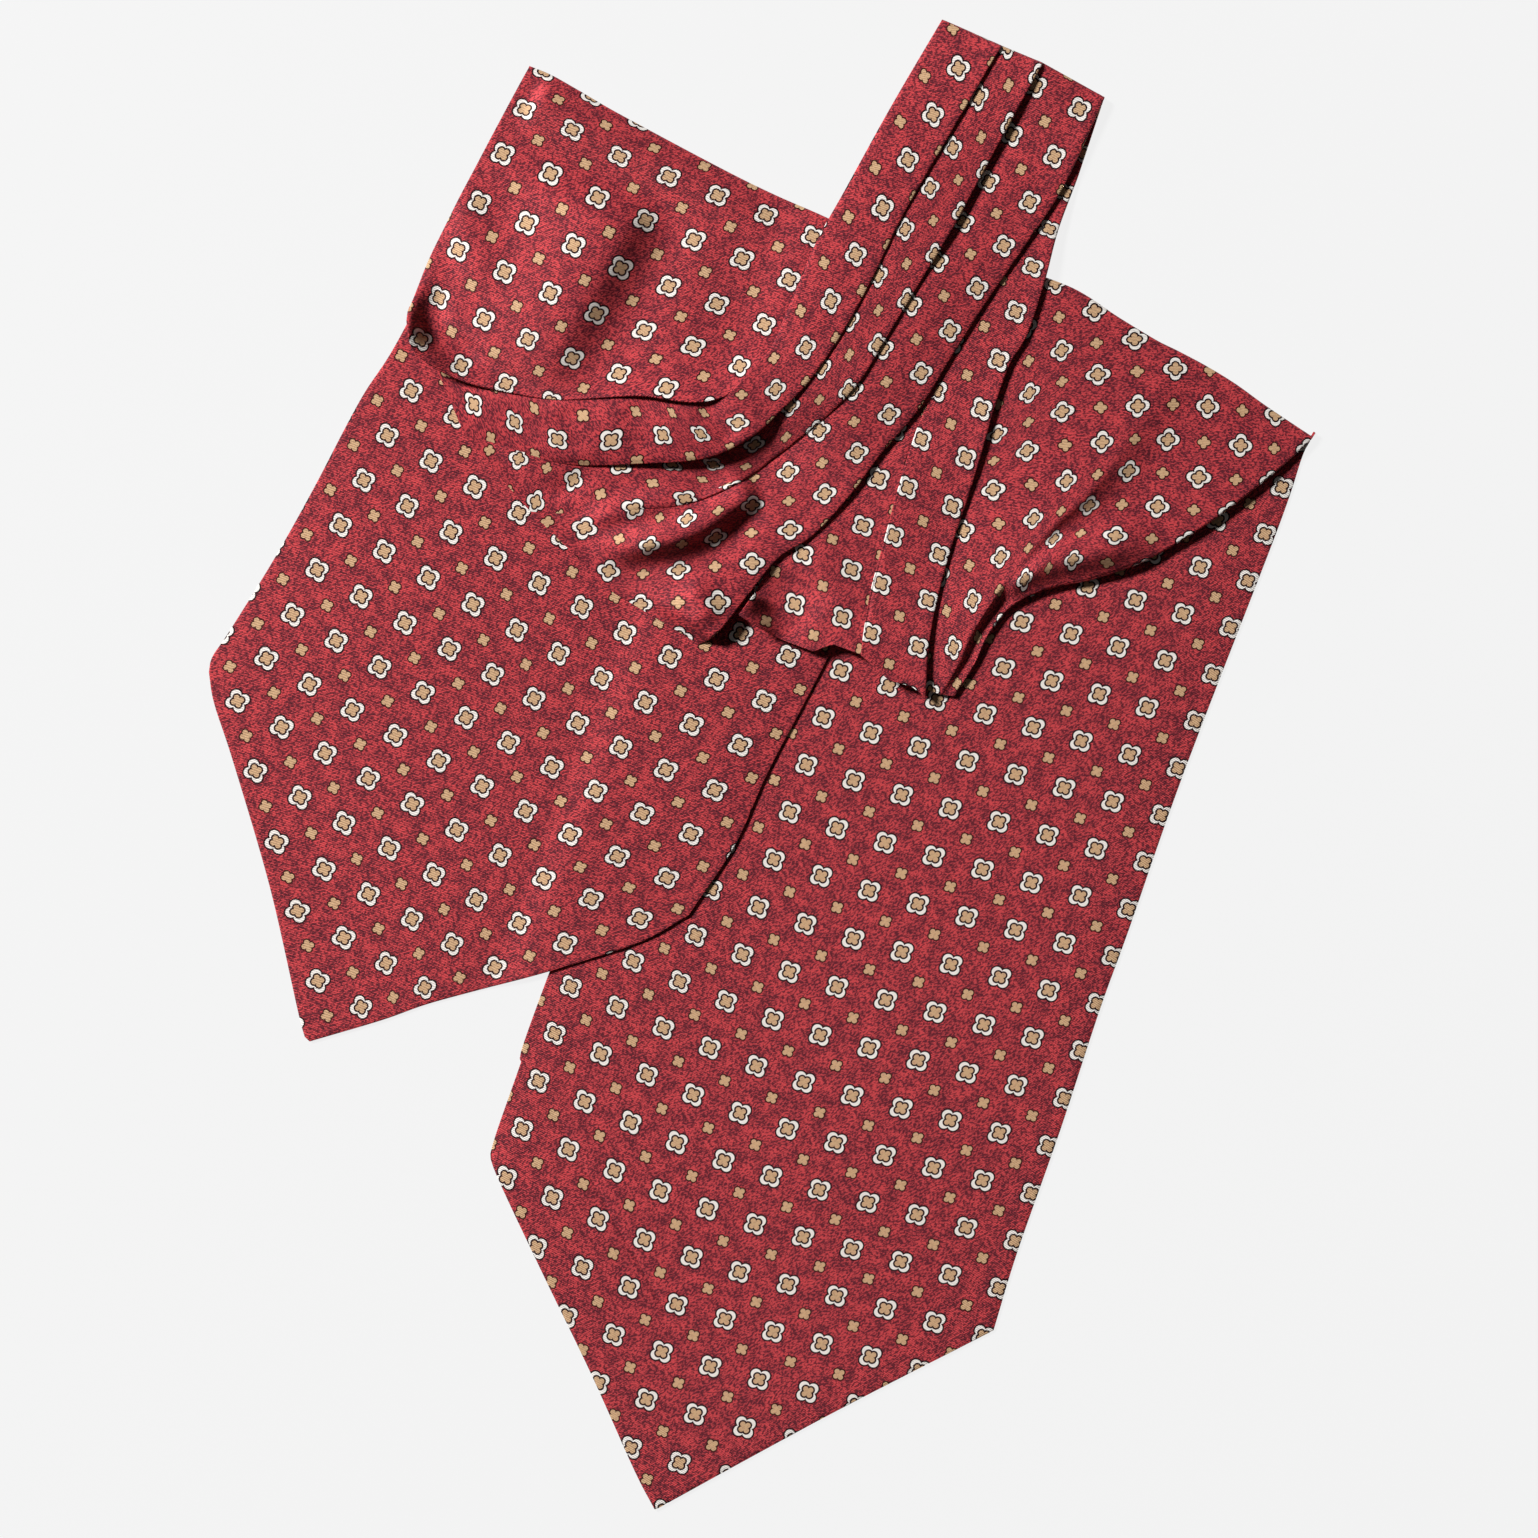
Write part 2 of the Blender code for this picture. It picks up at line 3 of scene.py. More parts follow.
import bmesh
import bpy
import numpy as np
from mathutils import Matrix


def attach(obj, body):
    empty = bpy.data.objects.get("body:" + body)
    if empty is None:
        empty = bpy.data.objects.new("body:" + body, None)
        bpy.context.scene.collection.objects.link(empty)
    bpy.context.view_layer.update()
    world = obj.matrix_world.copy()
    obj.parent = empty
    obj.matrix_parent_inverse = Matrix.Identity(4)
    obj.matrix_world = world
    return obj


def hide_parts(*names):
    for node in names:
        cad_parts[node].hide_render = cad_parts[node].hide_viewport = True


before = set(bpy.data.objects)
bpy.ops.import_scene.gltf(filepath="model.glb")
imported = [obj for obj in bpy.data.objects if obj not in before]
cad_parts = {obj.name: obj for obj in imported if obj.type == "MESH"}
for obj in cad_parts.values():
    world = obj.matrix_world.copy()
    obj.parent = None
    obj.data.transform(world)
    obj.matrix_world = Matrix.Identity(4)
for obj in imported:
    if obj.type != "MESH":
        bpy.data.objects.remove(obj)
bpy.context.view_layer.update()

# Tables are in millimetres, with X to the right and Y away from the viewer, seen from above.
mm = 0.001
cloth = {
    "shell": 0.36,         # two plies of twill, pressed
    "softEdge": 0.24,      # rounding of a shell's rim
    "edgeAngle": 60,       # degrees from which an edge counts as a rim
    "foldRadius": 0.25,    # middle of the wall, where a pleat turns
    "foldTurn": 165,       # degrees that a pleat's fold turns before it runs back
    "foldFirst": 22,       # degrees of the first line of points round a fold
    "foldStep": 24,        # degrees from one line to the next
    "runBack": 1.4,        # how far the lower ply of a fold is followed back
    "runSlope": 0.06,      # how fast it sinks on the way
    "air": 0.05,           # left between a fold and the surface
    "wall": 1.0,           # the solids' wall
    "layer": 1.35,         # a wall and the air above it
    "floor": 0.5,          # middle of the lowest wall
    "lowest": 0.4,         # middle of the lowest shell
    "lying": 0.42,         # from the middle of one cloth to the next one pressed on it
    "turnLines": 12,       # lines of points round the fold of a turned-over blade
    "pitch": 14.7,         # one repeat of the print
}
cloth["turnRadius"] = cloth["layer"] / 2
cloth["turnReach"] = cloth["layer"] / 2 + cloth["wall"] / 2   # from a fold's outline to its axis


# curves and surfaces
def ease(value):
    value = np.clip(value, 0.0, 1.0)
    return value * value * (3.0 - 2.0 * value)


def unit(rows):
    return rows / np.maximum(np.linalg.norm(rows, axis=1), 1e-6)[:, None]


def smoothed(points, steps):
    # the rows of points with steps - 1 more between each two, on a smooth curve
    points = np.asarray(points, float)
    ends = np.vstack([2 * points[0] - points[1], points, 2 * points[-1] - points[-2]])
    before, here, there, after = ends[:-3], ends[1:-2], ends[2:-1], ends[3:]
    rows = []
    for t in np.arange(steps) / steps:
        rows.append(0.5 * (2 * here + (there - before) * t
                           + (2 * before - 5 * here + 4 * there - after) * t ** 2
                           + (3 * here - before - 3 * there + after) * t ** 3))
    curve = np.stack(rows, axis=1).reshape(-1, points.shape[1])
    return np.vstack([curve, points[-1]])


def evenly(points, count, steps=16):
    # count points at even distances along the smooth curve through points
    curve = smoothed(points, steps)
    lengths = np.linalg.norm(np.diff(curve[:, :2], axis=0), axis=1)
    along = np.concatenate([[0.0], np.cumsum(lengths)])
    at = np.linspace(0.0, along[-1], count)
    return np.stack([np.interp(at, along, curve[:, k]) for k in range(curve.shape[1])], axis=1)


def withCorner(sides, count):
    first, second = (evenly(side, count) for side in sides)
    return np.vstack([first, second[1:]])


def cutSections(piece, edges):
    # a piece's table of sections, smoothed and by name, with the number of each section and the
    # plan points along its lettered edges
    cut = dict(zip(piece["columns"], smoothed(piece["sections"], piece["steps"]).T))
    section = np.arange(len(cut["ax"])) / piece["steps"]
    return cut, section, [np.column_stack([cut[edge + "x"], cut[edge + "y"]]) for edge in edges]


def betweenEdges(top, bottom, left, right):
    # plan points spread between four edges, in rows from top to bottom
    t = np.linspace(0.0, 1.0, len(left))[:, None, None]
    s = np.linspace(0.0, 1.0, len(top))[None, :, None]
    ends = (1 - t) * top[None] + t * bottom[None]
    sides = (1 - s) * left[:, None] + s * right[:, None]
    corners = ((1 - s) * (1 - t) * top[0] + s * (1 - t) * top[-1]
               + (1 - s) * t * bottom[0] + s * t * bottom[-1])
    return ends + sides - corners


def inwardOf(edge, towards):
    # directions in plan, square to the edge, on the side where the point towards lies
    along = np.gradient(edge[:, :2], axis=0)
    square = unit(np.stack([-along[:, 1], along[:, 0]], axis=1))
    side = np.sign(((np.asarray(towards) - edge[:, :2]) * square).sum(axis=1).mean())
    return square * side


def between(rows, at, values):
    # an eased curve through a few values
    at = np.asarray(at, float)
    values = np.asarray(values, float)
    low = np.clip(np.searchsorted(at, rows, side="right") - 1, 0, len(at) - 2)
    share = ease((rows - at[low]) / (at[low + 1] - at[low]))
    return values[low] + (values[low + 1] - values[low]) * share


def crease(route, leftWidth, rightWidth, height, fadeIn, fadeOut):
    # a soft ridge or trough: its widths are to the left and right of its route, and the fades
    # are the shares of its length in which it rises and dies away
    return {"route": route, "widths": (leftWidth, rightWidth), "height": height,
            "fade": (fadeIn, fadeOut)}


def creaseHeight(plan, creases, steps=6):
    # the height that the creases add up to at each point
    flat = plan.reshape(-1, 2)
    height = np.zeros(len(flat))
    for ridge in creases:
        route = smoothed(ridge["route"], steps)
        start, run = route[:-1], np.diff(route, axis=0)
        share = ((flat[:, None] - start) * run).sum(axis=2) / (run ** 2).sum(axis=1)
        share = np.clip(share, 0.0, 1.0)
        off = flat[:, None] - start - share[..., None] * run
        away = np.linalg.norm(off, axis=2)
        near = away.argmin(axis=1)
        pick = np.arange(len(flat))
        side = run[near, 0] * off[pick, near, 1] - run[near, 1] * off[pick, near, 0]
        lengths = np.concatenate([[0.0], np.cumsum(np.linalg.norm(run, axis=1))])
        along = (lengths[near] + share[pick, near] * np.diff(lengths)[near]) / lengths[-1]
        width = np.where(side > 0, *ridge["widths"])
        profile = np.exp(-(away[pick, near] / width) ** 2)
        fadeIn, fadeOut = ridge["fade"]
        height += ridge["height"] * profile * (ease(along / fadeIn) * ease((1 - along) / fadeOut))
    return height.reshape(plan.shape[:-1])


def waves(plan, rows, sway=0.6, swayRate=4):
    # long shallow swells that sway a little: wave length, direction in degrees, height and phase
    height = np.zeros(plan.shape[:-1])
    for length, direction, rise, phase in rows:
        turn = math.radians(direction)
        along = plan[..., 0] * math.cos(turn) + plan[..., 1] * math.sin(turn)
        across = -plan[..., 0] * math.sin(turn) + plan[..., 1] * math.cos(turn)
        swayed = sway * np.sin(across / length * swayRate)
        height += rise * np.sin(2 * math.pi * along / length + phase + swayed)
    return height


# the print's repeat
def printMap(flowers, size=100.0, slack=2e-4):
    # where each flower lies (x, y) against its place in the repeat (i, j): a thin plate bent
    # through them gives the place in the repeat of any other point of the cloth
    rows = np.asarray(flowers, float)
    at, place = rows[:, :2], rows[:, 2:]
    centre = at.mean(axis=0)
    at = (at - centre) / size

    def bend(distance):
        return distance ** 2 * np.log(distance + 1e-9)

    count = len(at)
    matrix = np.zeros((count + 3, count + 3))
    matrix[:count, :count] = bend(np.linalg.norm(at[:, None] - at, axis=2)) + slack * np.eye(count)
    matrix[:count, count] = matrix[count, :count] = 1.0
    matrix[:count, count + 1:] = at
    matrix[count + 1:, :count] = at.T
    weights = np.linalg.solve(matrix, np.vstack([place, np.zeros((3, 2))]))

    def chart(plan):
        points = (plan.reshape(-1, 2) - centre) / size
        spread = bend(np.linalg.norm(points[:, None] - at, axis=2))
        found = spread @ weights[:count] + weights[count] + points @ weights[count + 1:]
        return found.reshape(plan.shape)

    return chart


# folds and meshes
def withRoll(grid, flat, axis, atEnd, share, radius=cloth["foldRadius"]):
    # a fold along one side of a grid: the cloth turns down and runs back under itself.
    # share scales the whole fold, so that it can die away, and it dies away where the cloth
    # lies too low for it. flat is the same cloth laid out in plan, where the print is looked up.
    runBack, slope, air, runLines = cloth["runBack"], cloth["runSlope"], cloth["air"], 3
    if axis == 0:
        grid, flat = grid.swapaxes(0, 1), flat.swapaxes(0, 1)
    if not atEnd:
        grid, flat = grid[:, ::-1], flat[:, ::-1]
    edge = grid[:, -1]
    out = unit((edge - grid[:, -3])[:, :2])
    flatOut = unit(flat[:, -1] - flat[:, -3])
    room = (edge[:, 2] - cloth["shell"] / 2 - air) / (2 * radius + slope * runBack)
    share = np.clip(np.minimum(share, room), 0.0, 1.0)[:, None]
    points, charted = [], []
    for degrees in np.arange(cloth["foldFirst"], cloth["foldTurn"] + 1, cloth["foldStep"]):
        angle = math.radians(degrees)
        point = edge.copy()
        point[:, :2] += out * radius * share * math.sin(angle)
        point[:, 2] -= (radius * share * (1 - math.cos(angle)))[:, 0]
        points.append(point)
        charted.append(flat[:, -1] + flatOut * radius * share * angle)
    last, lastFlat = points[-1], charted[-1]
    for behind in np.linspace(runBack / runLines, runBack, runLines):
        point = last.copy()
        point[:, :2] -= out * share * behind
        point[:, 2] -= (slope * share * behind)[:, 0]
        points.append(point)
        charted.append(lastFlat + flatOut * share * behind)
    grid = np.concatenate([grid, np.stack(points, axis=1)], axis=1)
    flat = np.concatenate([flat, np.stack(charted, axis=1)], axis=1)
    if not atEnd:
        grid, flat = grid[:, ::-1], flat[:, ::-1]
    if axis == 0:
        grid, flat = grid.swapaxes(0, 1), flat.swapaxes(0, 1)
    return grid, flat


def toOutline(grid, atEnd, share):
    # the folded side drawn back so that the roll's outside lies on the outline
    side, inner = (-1, -2) if atEnd else (0, 1)
    reach = (cloth["foldRadius"] + cloth["shell"] / 2) * share
    out = unit((grid[:, side] - grid[:, inner])[:, :2])
    grid = grid.copy()
    grid[:, side, :2] -= out * reach[:, None]
    return grid


def turnedOver(grid, flat, axis, inward, ground, highest=np.inf):
    # the fold of a turned-over blade: half a round from the ground up to the grid's first row
    radius = cloth["turnRadius"]
    turn, turnFlat = [], []
    for angle in np.radians(np.linspace(-90, 90, cloth["turnLines"] + 1))[:-1]:
        line = axis - inward * radius * math.cos(angle)
        z = np.minimum(ground + radius + radius * math.sin(angle), highest)
        turn.append(np.column_stack([line, z]))
        turnFlat.append(axis - inward * radius * (math.pi / 2 - angle))
    return np.concatenate([turn, grid]), np.concatenate([turnFlat, flat])


def makeCloth(name, grids, finish):
    # one shell from grids of points (mm) with their places in the print's repeat; points that
    # fall together are joined, so folds that die away leave one smooth cloth
    shape = bmesh.new()
    layer = shape.loops.layers.uv.new("print")
    for points, places in grids:
        rows, cols = points.shape[:2]
        verts = [[shape.verts.new(points[r, c] * mm) for c in range(cols)] for r in range(rows)]
        for r in range(rows - 1):
            for c in range(cols - 1):
                around = ((r, c), (r + 1, c), (r + 1, c + 1), (r, c + 1))
                face = shape.faces.new([verts[i][k] for i, k in around])
                face.smooth = True
                for loop, (i, k) in zip(face.loops, around):
                    loop[layer].uv = places[i, k]
    joined, vanishing = 0.012 * mm, 0.002 * mm
    bmesh.ops.remove_doubles(shape, verts=shape.verts, dist=joined)
    bmesh.ops.dissolve_degenerate(shape, edges=shape.edges, dist=vanishing)
    bmesh.ops.recalc_face_normals(shape, faces=shape.faces)
    waiting = set(shape.faces)
    while waiting:   # each part of the cloth that hangs together is turned face up
        island, edgeOfIt = set(), [waiting.pop()]
        while edgeOfIt:
            face = edgeOfIt.pop()
            island.add(face)
            for edge in face.edges:
                for other in edge.link_faces:
                    if other in waiting:
                        waiting.discard(other)
                        edgeOfIt.append(other)
        if sum(face.normal.z * face.calc_area() for face in island) < 0:
            bmesh.ops.reverse_faces(shape, faces=list(island))
    mesh = bpy.data.meshes.new(name)
    shape.to_mesh(mesh)
    shape.free()
    mesh.materials.append(finish)
    piece = bpy.data.objects.new(name, mesh)
    bpy.context.scene.collection.objects.link(piece)
    wall = piece.modifiers.new("shell", "SOLIDIFY")
    wall.thickness = cloth["shell"] * mm
    wall.offset = 0.0
    rounding = piece.modifiers.new("softEdge", "BEVEL")
    rounding.width = cloth["softEdge"] * mm
    rounding.segments = 2
    rounding.limit_method = "ANGLE"
    rounding.angle_limit = math.radians(cloth["edgeAngle"])
    area = sum(face.area for face in mesh.polygons)
    print("made", name, "with", len(mesh.polygons), "faces,", round(area, 4), "square metres")
    return piece


# the printed silk
class Value:
    # one shader socket, with arithmetic
    def __init__(self, tree, socket):
        self.tree, self.socket = tree, socket

    def maths(self, operation, *values):
        return makeNode(self.tree, "ShaderNodeMath", {"operation": operation}, dict(enumerate(values)))

    def __add__(self, other):
        return self.maths("ADD", self, other)

    def __sub__(self, other):
        return self.maths("SUBTRACT", self, other)

    def __rsub__(self, other):
        return self.maths("SUBTRACT", other, self)

    def __mul__(self, other):
        return self.maths("MULTIPLY", self, other)

    def __abs__(self):
        return self.maths("ABSOLUTE", self)

    __radd__, __rmul__ = __add__, __mul__

    def floor(self):
        return self.maths("FLOOR", self)

    def sine(self):
        return self.maths("SINE", self)

    def root(self):
        return self.maths("SQRT", self)

    def low(self, other):
        return self.maths("MINIMUM", self, other)

    def rising(self, start, end, low=0.0, high=1.0):
        return makeNode(self.tree, "ShaderNodeMapRange", {"interpolation_type": "SMOOTHSTEP"},
                        {"Value": self, "From Min": start, "From Max": end, "To Min": low, "To Max": high})

    def falling(self, start, end):
        return self.rising(start, end, 1.0, 0.0)


def makeNode(tree, kind, settings, inputs, output=0):
    node = tree.nodes.new(kind)
    for name, value in settings.items():
        setattr(node, name, value)
    for name, value in inputs.items():
        socket = node.inputs[name]
        if isinstance(value, Value):
            tree.links.new(value.socket, socket)
        else:
            socket.default_value = value
    return Value(tree, node.outputs[output])


def mixed(tree, share, first, second):
    # two colours mixed by a share
    return makeNode(tree, "ShaderNodeMix", {"data_type": "RGBA"},
                    {"Factor": share, 6: first, 7: second}, 2)


def colour(red, green, blue):
    # a colour given as 0 to 255 on a screen
    def linear(value):
        value /= 255
        return value / 12.92 if value <= 0.04045 else ((value + 0.055) / 1.055) ** 2.4
    return (linear(red), linear(green), linear(blue), 1.0)


silk = {
    "red": colour(210, 72, 77),
    "deepRed": colour(185, 64, 71),
    "plum": colour(62, 24, 38),
    "ink": colour(26, 8, 14),
    "brown": colour(52, 18, 16),
    "white": colour(246, 240, 233),
    "tan": colour(212, 174, 134),
    "tanShade": colour(188, 146, 112),
    # four round lobes each: how far out they lie, their radius, the width of their dark line,
    # and the radius of a round middle
    "lobeOut": 1.344, "lobeRadius": 1.5, "lobeLine": 0.46,
    "eyeOut": 0.76, "eyeRadius": 0.77, "eyeLine": 0.48, "eyeMiddle": 0.85,
    "sprigOut": 0.72, "sprigRadius": 0.74, "sprigLine": 0.38, "sprigMiddle": 0.7,
    "softLine": 0.07,
    "twill": 0.47, "twillDepth": 0.04, "twillStrength": 0.8,
    "patchNoise": {"Scale": 0.26, "Detail": 2.0, "Roughness": 0.5},
    "strokeNoise": {"Scale": 2.0, "Detail": 1.0, "Roughness": 0.6, "Distortion": 0.4},
    "patchEdges": (0.3, 0.7), "patchShare": 0.24,
    "strokeStretch": 0.55, "strokeEdges": (0.40, 0.60), "strokeShare": 0.85,
    "tanEdges": (0.45, 0.7), "tanShare": 0.6,
    "surface": {"Roughness": 0.55, "Metallic": 0.1, "Specular IOR Level": 0.3,
                "Specular Tint": (1.0, 0.45, 0.45, 1.0), "Sheen Weight": 0.04,
                "Sheen Roughness": 0.4, "Sheen Tint": (1.0, 0.75, 0.75, 1.0)},
}


def printedSilk():
    material = bpy.data.materials.new("printedSilk")
    material.use_nodes = True
    tree = material.node_tree
    surface = tree.nodes["Principled BSDF"]
    place = makeNode(tree, "ShaderNodeUVMap", {"uv_map": "print"}, {})
    u, v = (makeNode(tree, "ShaderNodeSeparateXYZ", {}, {"Vector": place}, output) for output in "XY")
    pitch, slant = cloth["pitch"], 0.7071

    def lobes(across, along, kind):
        # how far a point is outside four round lobes, in millimetres
        out = silk[kind + "Out"]
        x, y = abs(across) - out, abs(along) - out
        return (x * x + y * y).root() - silk[kind + "Radius"]

    def florets(across, along, kind):
        # the same with a round middle
        middle = (across * across + along * along).root()
        return lobes(across, along, kind).low(middle - silk[kind + "Middle"])

    def flowerFrame(shift):
        return ((u + shift - (u + (shift + 0.5)).floor()) * pitch,
                (v + shift - (v + (shift + 0.5)).floor()) * pitch)

    centred = flowerFrame(0.0)
    flower, eye = lobes(*centred, "lobe"), florets(*centred, "eye")
    sprig = florets(*flowerFrame(0.5), "sprig")

    # the ground: fine strokes along the twill, and soft patches
    spread = makeNode(tree, "ShaderNodeVectorMath", {"operation": "SCALE"}, {0: place, "Scale": pitch})
    diagonal = makeNode(tree, "ShaderNodeCombineXYZ", {}, {
        0: (u + v) * (pitch * slant * silk["strokeStretch"]), 1: (u - v) * (pitch * slant)})
    patches, strokes = (
        makeNode(tree, "ShaderNodeTexNoise", {"noise_dimensions": "2D"}, {"Vector": vector, **noise})
        for vector, noise in ((spread, silk["patchNoise"]), (diagonal, silk["strokeNoise"])))
    ground = mixed(tree, patches.rising(*silk["patchEdges"]), silk["red"], silk["deepRed"])
    dark = (strokes + (patches - 0.5) * silk["patchShare"]).rising(*silk["strokeEdges"])
    ground = mixed(tree, dark * silk["strokeShare"], ground, silk["plum"])
    tan = mixed(tree, strokes.rising(*silk["tanEdges"]) * silk["tanShare"], silk["tan"], silk["tanShade"])
    base, soft = ground, silk["softLine"]
    for shape, line, paint in (
            (sprig, silk["sprigLine"], silk["brown"]), (sprig, 0.0, tan),
            (flower, silk["lobeLine"], silk["ink"]), (flower, 0.0, silk["white"]),
            (eye, silk["eyeLine"], silk["ink"]), (eye, 0.0, tan)):
        base = mixed(tree, shape.falling(line - soft, line + soft), base, paint)
    tree.links.new(base.socket, surface.inputs["Base Color"])

    wale = ((u - v) * (pitch * 2 * math.pi / silk["twill"] * slant)).sine()
    bump = makeNode(tree, "ShaderNodeBump", {}, {
        "Strength": silk["twillStrength"], "Distance": silk["twillDepth"] * mm, "Height": wale})
    tree.links.new(bump.socket, surface.inputs["Normal"])
    for name, value in silk["surface"].items():
        surface.inputs[name].default_value = value
    return material


silkPrint = printedSilk()

# right blade
rightBlade = {
    "top": ((21, 158), (52.5, 149), (84, 142.5), (91.5, 139.5), (97.5, 136), (104, 131.5),
            (115.5, 124.5), (121.5, 121.5), (130, 117), (139, 111.5), (148, 105), (161.5, 96)),
    "left": ((21, 158), (-62, -61), (-69, -83.5), (-77.5, -108), (-78.5, -113)),
    "right": ((161.5, 96), (158.5, 90), (151, 68.5), (124, -1.5), (107.5, -48.5), (99, -72),
              (87.5, -107), (75, -142.5), (68, -165.5)),
    "point": (((-78.5, -113), (-78, -118.5), (-64.5, -147.5), (-49.8, -178), (-37, -206.5),
               (-31, -218)),
              ((-31, -218), (-1, -201.5), (26, -187), (68, -165.5))),
    "flowers": (
        (-61.0, -126.6, 0, 0), (-34.1, -138.9, 2, 0), (-6.3, -148.4, 4, 0), (22.0, -155.4, 6, 0),
        (-23.9, -204.2, 4, -4), (-4.8, -193.8, 5, -3), (90.7, 38.2, 6, 14), (95.6, 51.9, 6, 15),
        (76.3, 41.7, 5, 14), (98.9, 20.6, 7, 13), (65.5, 14.8, 5, 12), (17.3, -79.1, 4, 5),
        (50.9, -72.4, 6, 6), (-5.4, -55.6, 2, 6), (79.4, -79.9, 8, 6), (22.2, -18.6, 3, 9),
        (-55.6, -64.9, -1, 4)),
    "swells": ((150, 60, 0.14, 0.4), (95, 115, 0.1, 2.1), (210, 10, 0.12, 4.0)),
    "swellLift": 0.12, "swellLimit": 0.5,
    "rows": 180, "halfCols": 46,
}


def bladePlan(blade, inset=1.6, cornerPower=30):
    # points between the blade's outlines, the top ones drawn in under the turned-over cloth
    inside = np.mean(np.concatenate([blade["left"], blade["right"]]), axis=0)
    rows, cols = blade["rows"], blade["halfCols"]
    top = evenly(blade["top"], 2 * cols - 1)
    top = top + inwardOf(top, inside) * inset
    fade = np.linspace(1, 0, rows)[:, None] ** cornerPower
    left = evenly(blade["left"], rows)
    right = evenly(blade["right"], rows)
    left = left + (top[0] - left[0]) * fade
    right = right + (top[-1] - right[0]) * fade
    return betweenEdges(top, withCorner(blade["point"], cols), left, right)


def fromEdge(plan):
    # distance of each point from the grid's two sides
    left = np.linalg.norm(plan - plan[:, :1], axis=2)
    right = np.linalg.norm(plan - plan[:, -1:], axis=2)
    return np.minimum(left, right)


def bladeGrid(blade, plan, raised, flatRim=12):
    # the blade lies flat along its rim, swells inside it, and is raised where it lies on cloth
    lift = np.clip(waves(plan, blade["swells"]) + blade["swellLift"], 0.0, blade["swellLimit"])
    height = cloth["lowest"] + raised + lift * ease(fromEdge(plan) / flatRim)
    return np.dstack([plan, height]), printMap(blade["flowers"])(plan)


plan = bladePlan(rightBlade)
rightBladeCloth = makeCloth("rightBladeCloth", [bladeGrid(rightBlade, plan, 0.0)], silkPrint)

# left blade
leftBlade = {
    "top": ((-67.5, 204.5), (-4.5, 171), (19.5, 160), (71.5, 133.5)),
    "left": ((-67.5, 204.5), (-102.5, 131), (-117.3, 106.5), (-131, 80.5), (-142.5, 60),
             (-155.5, 39), (-160.5, 31.5), (-161.5, 27)),
    "right": ((71.5, 133.5), (19.5, 31), (2.5, -1.5), (-7.5, -23.5), (-21, -44)),
    "point": (((-161.5, 27), (-160, 18), (-154.3, 0.5), (-143.5, -36.5), (-134.5, -76),
               (-132, -81)),
              ((-132, -81), (-111, -74.8), (-98, -70.2), (-83.5, -66.2), (-62, -60.5),
               (-35.5, -52), (-21, -44))),
    # it climbs on to the right blade between these distances from the line, by so much
    "climbLine": ((21, 158), (-62, -61)), "climbFrom": -17.0, "climbTo": -4.5, "climb": 0.9,
    "flowers": (
        (-129.8, 56.9, 0, 0), (-104.1, 41.4, 2, 0), (-78.4, 26.4, 4, 0), (-66.4, 19.3, 5, 0),
        (-144.6, 31.0, 0, -2), (-153.1, 18.6, 0, -3), (-135.6, -42.8, 3, -6), (-109.6, -58.1, 5, -6),
        (-116.9, -70.9, 5, -7), (-127.7, -30.7, 3, -5), (-102.0, -45.2, 5, -5), (-77.8, -59.3, 7, -5),
        (-70.7, -46.4, 7, -4), (-63.5, -33.3, 7, -3), (-83.7, 81.2, 2, 3), (-70.8, 73.6, 3, 3),
        (-90.7, 68.0, 2, 2), (-52.4, 46.1, 5, 2), (-39.8, 38.5, 6, 2), (-71.4, 39.3, 4, 1),
        (-53.5, 12.1, 6, 0), (-41.0, 5.1, 7, 0), (-27.8, -1.6, 8, 0), (0.9, 18.6, 9, 2),
        (-6.1, 5.7, 9, 1), (-13.5, -7.5, 9, 0), (-20.5, -20.3, 9, -1), (-27.5, -33.2, 9, -2),
        (-35.4, -44.9, 9, -3), (-122.0, -17.1, 3, -4), (-108.8, -24.5, 4, -4),
        (-98.4, -65.2, 6, -6)),
    "swells": ((130, 70, 0.12, 1.0), (85, 130, 0.1, 0.3)),
    "swellLift": 0.1, "swellLimit": 0.3,
    "rows": 140, "halfCols": 50,
}


def climb(plan):
    # how far the left blade is lifted where it lies on the right blade
    start, end = np.asarray(leftBlade["climbLine"], float)
    along = (end - start) / np.linalg.norm(end - start)
    across = (plan[..., 0] - start[0]) * -along[1] + (plan[..., 1] - start[1]) * along[0]
    share = (across - leftBlade["climbFrom"]) / (leftBlade["climbTo"] - leftBlade["climbFrom"])
    return leftBlade["climb"] * ease(share)


plan = bladePlan(leftBlade)
leftBladeCloth = makeCloth("leftBladeCloth", [bladeGrid(leftBlade, plan, climb(plan))], silkPrint)

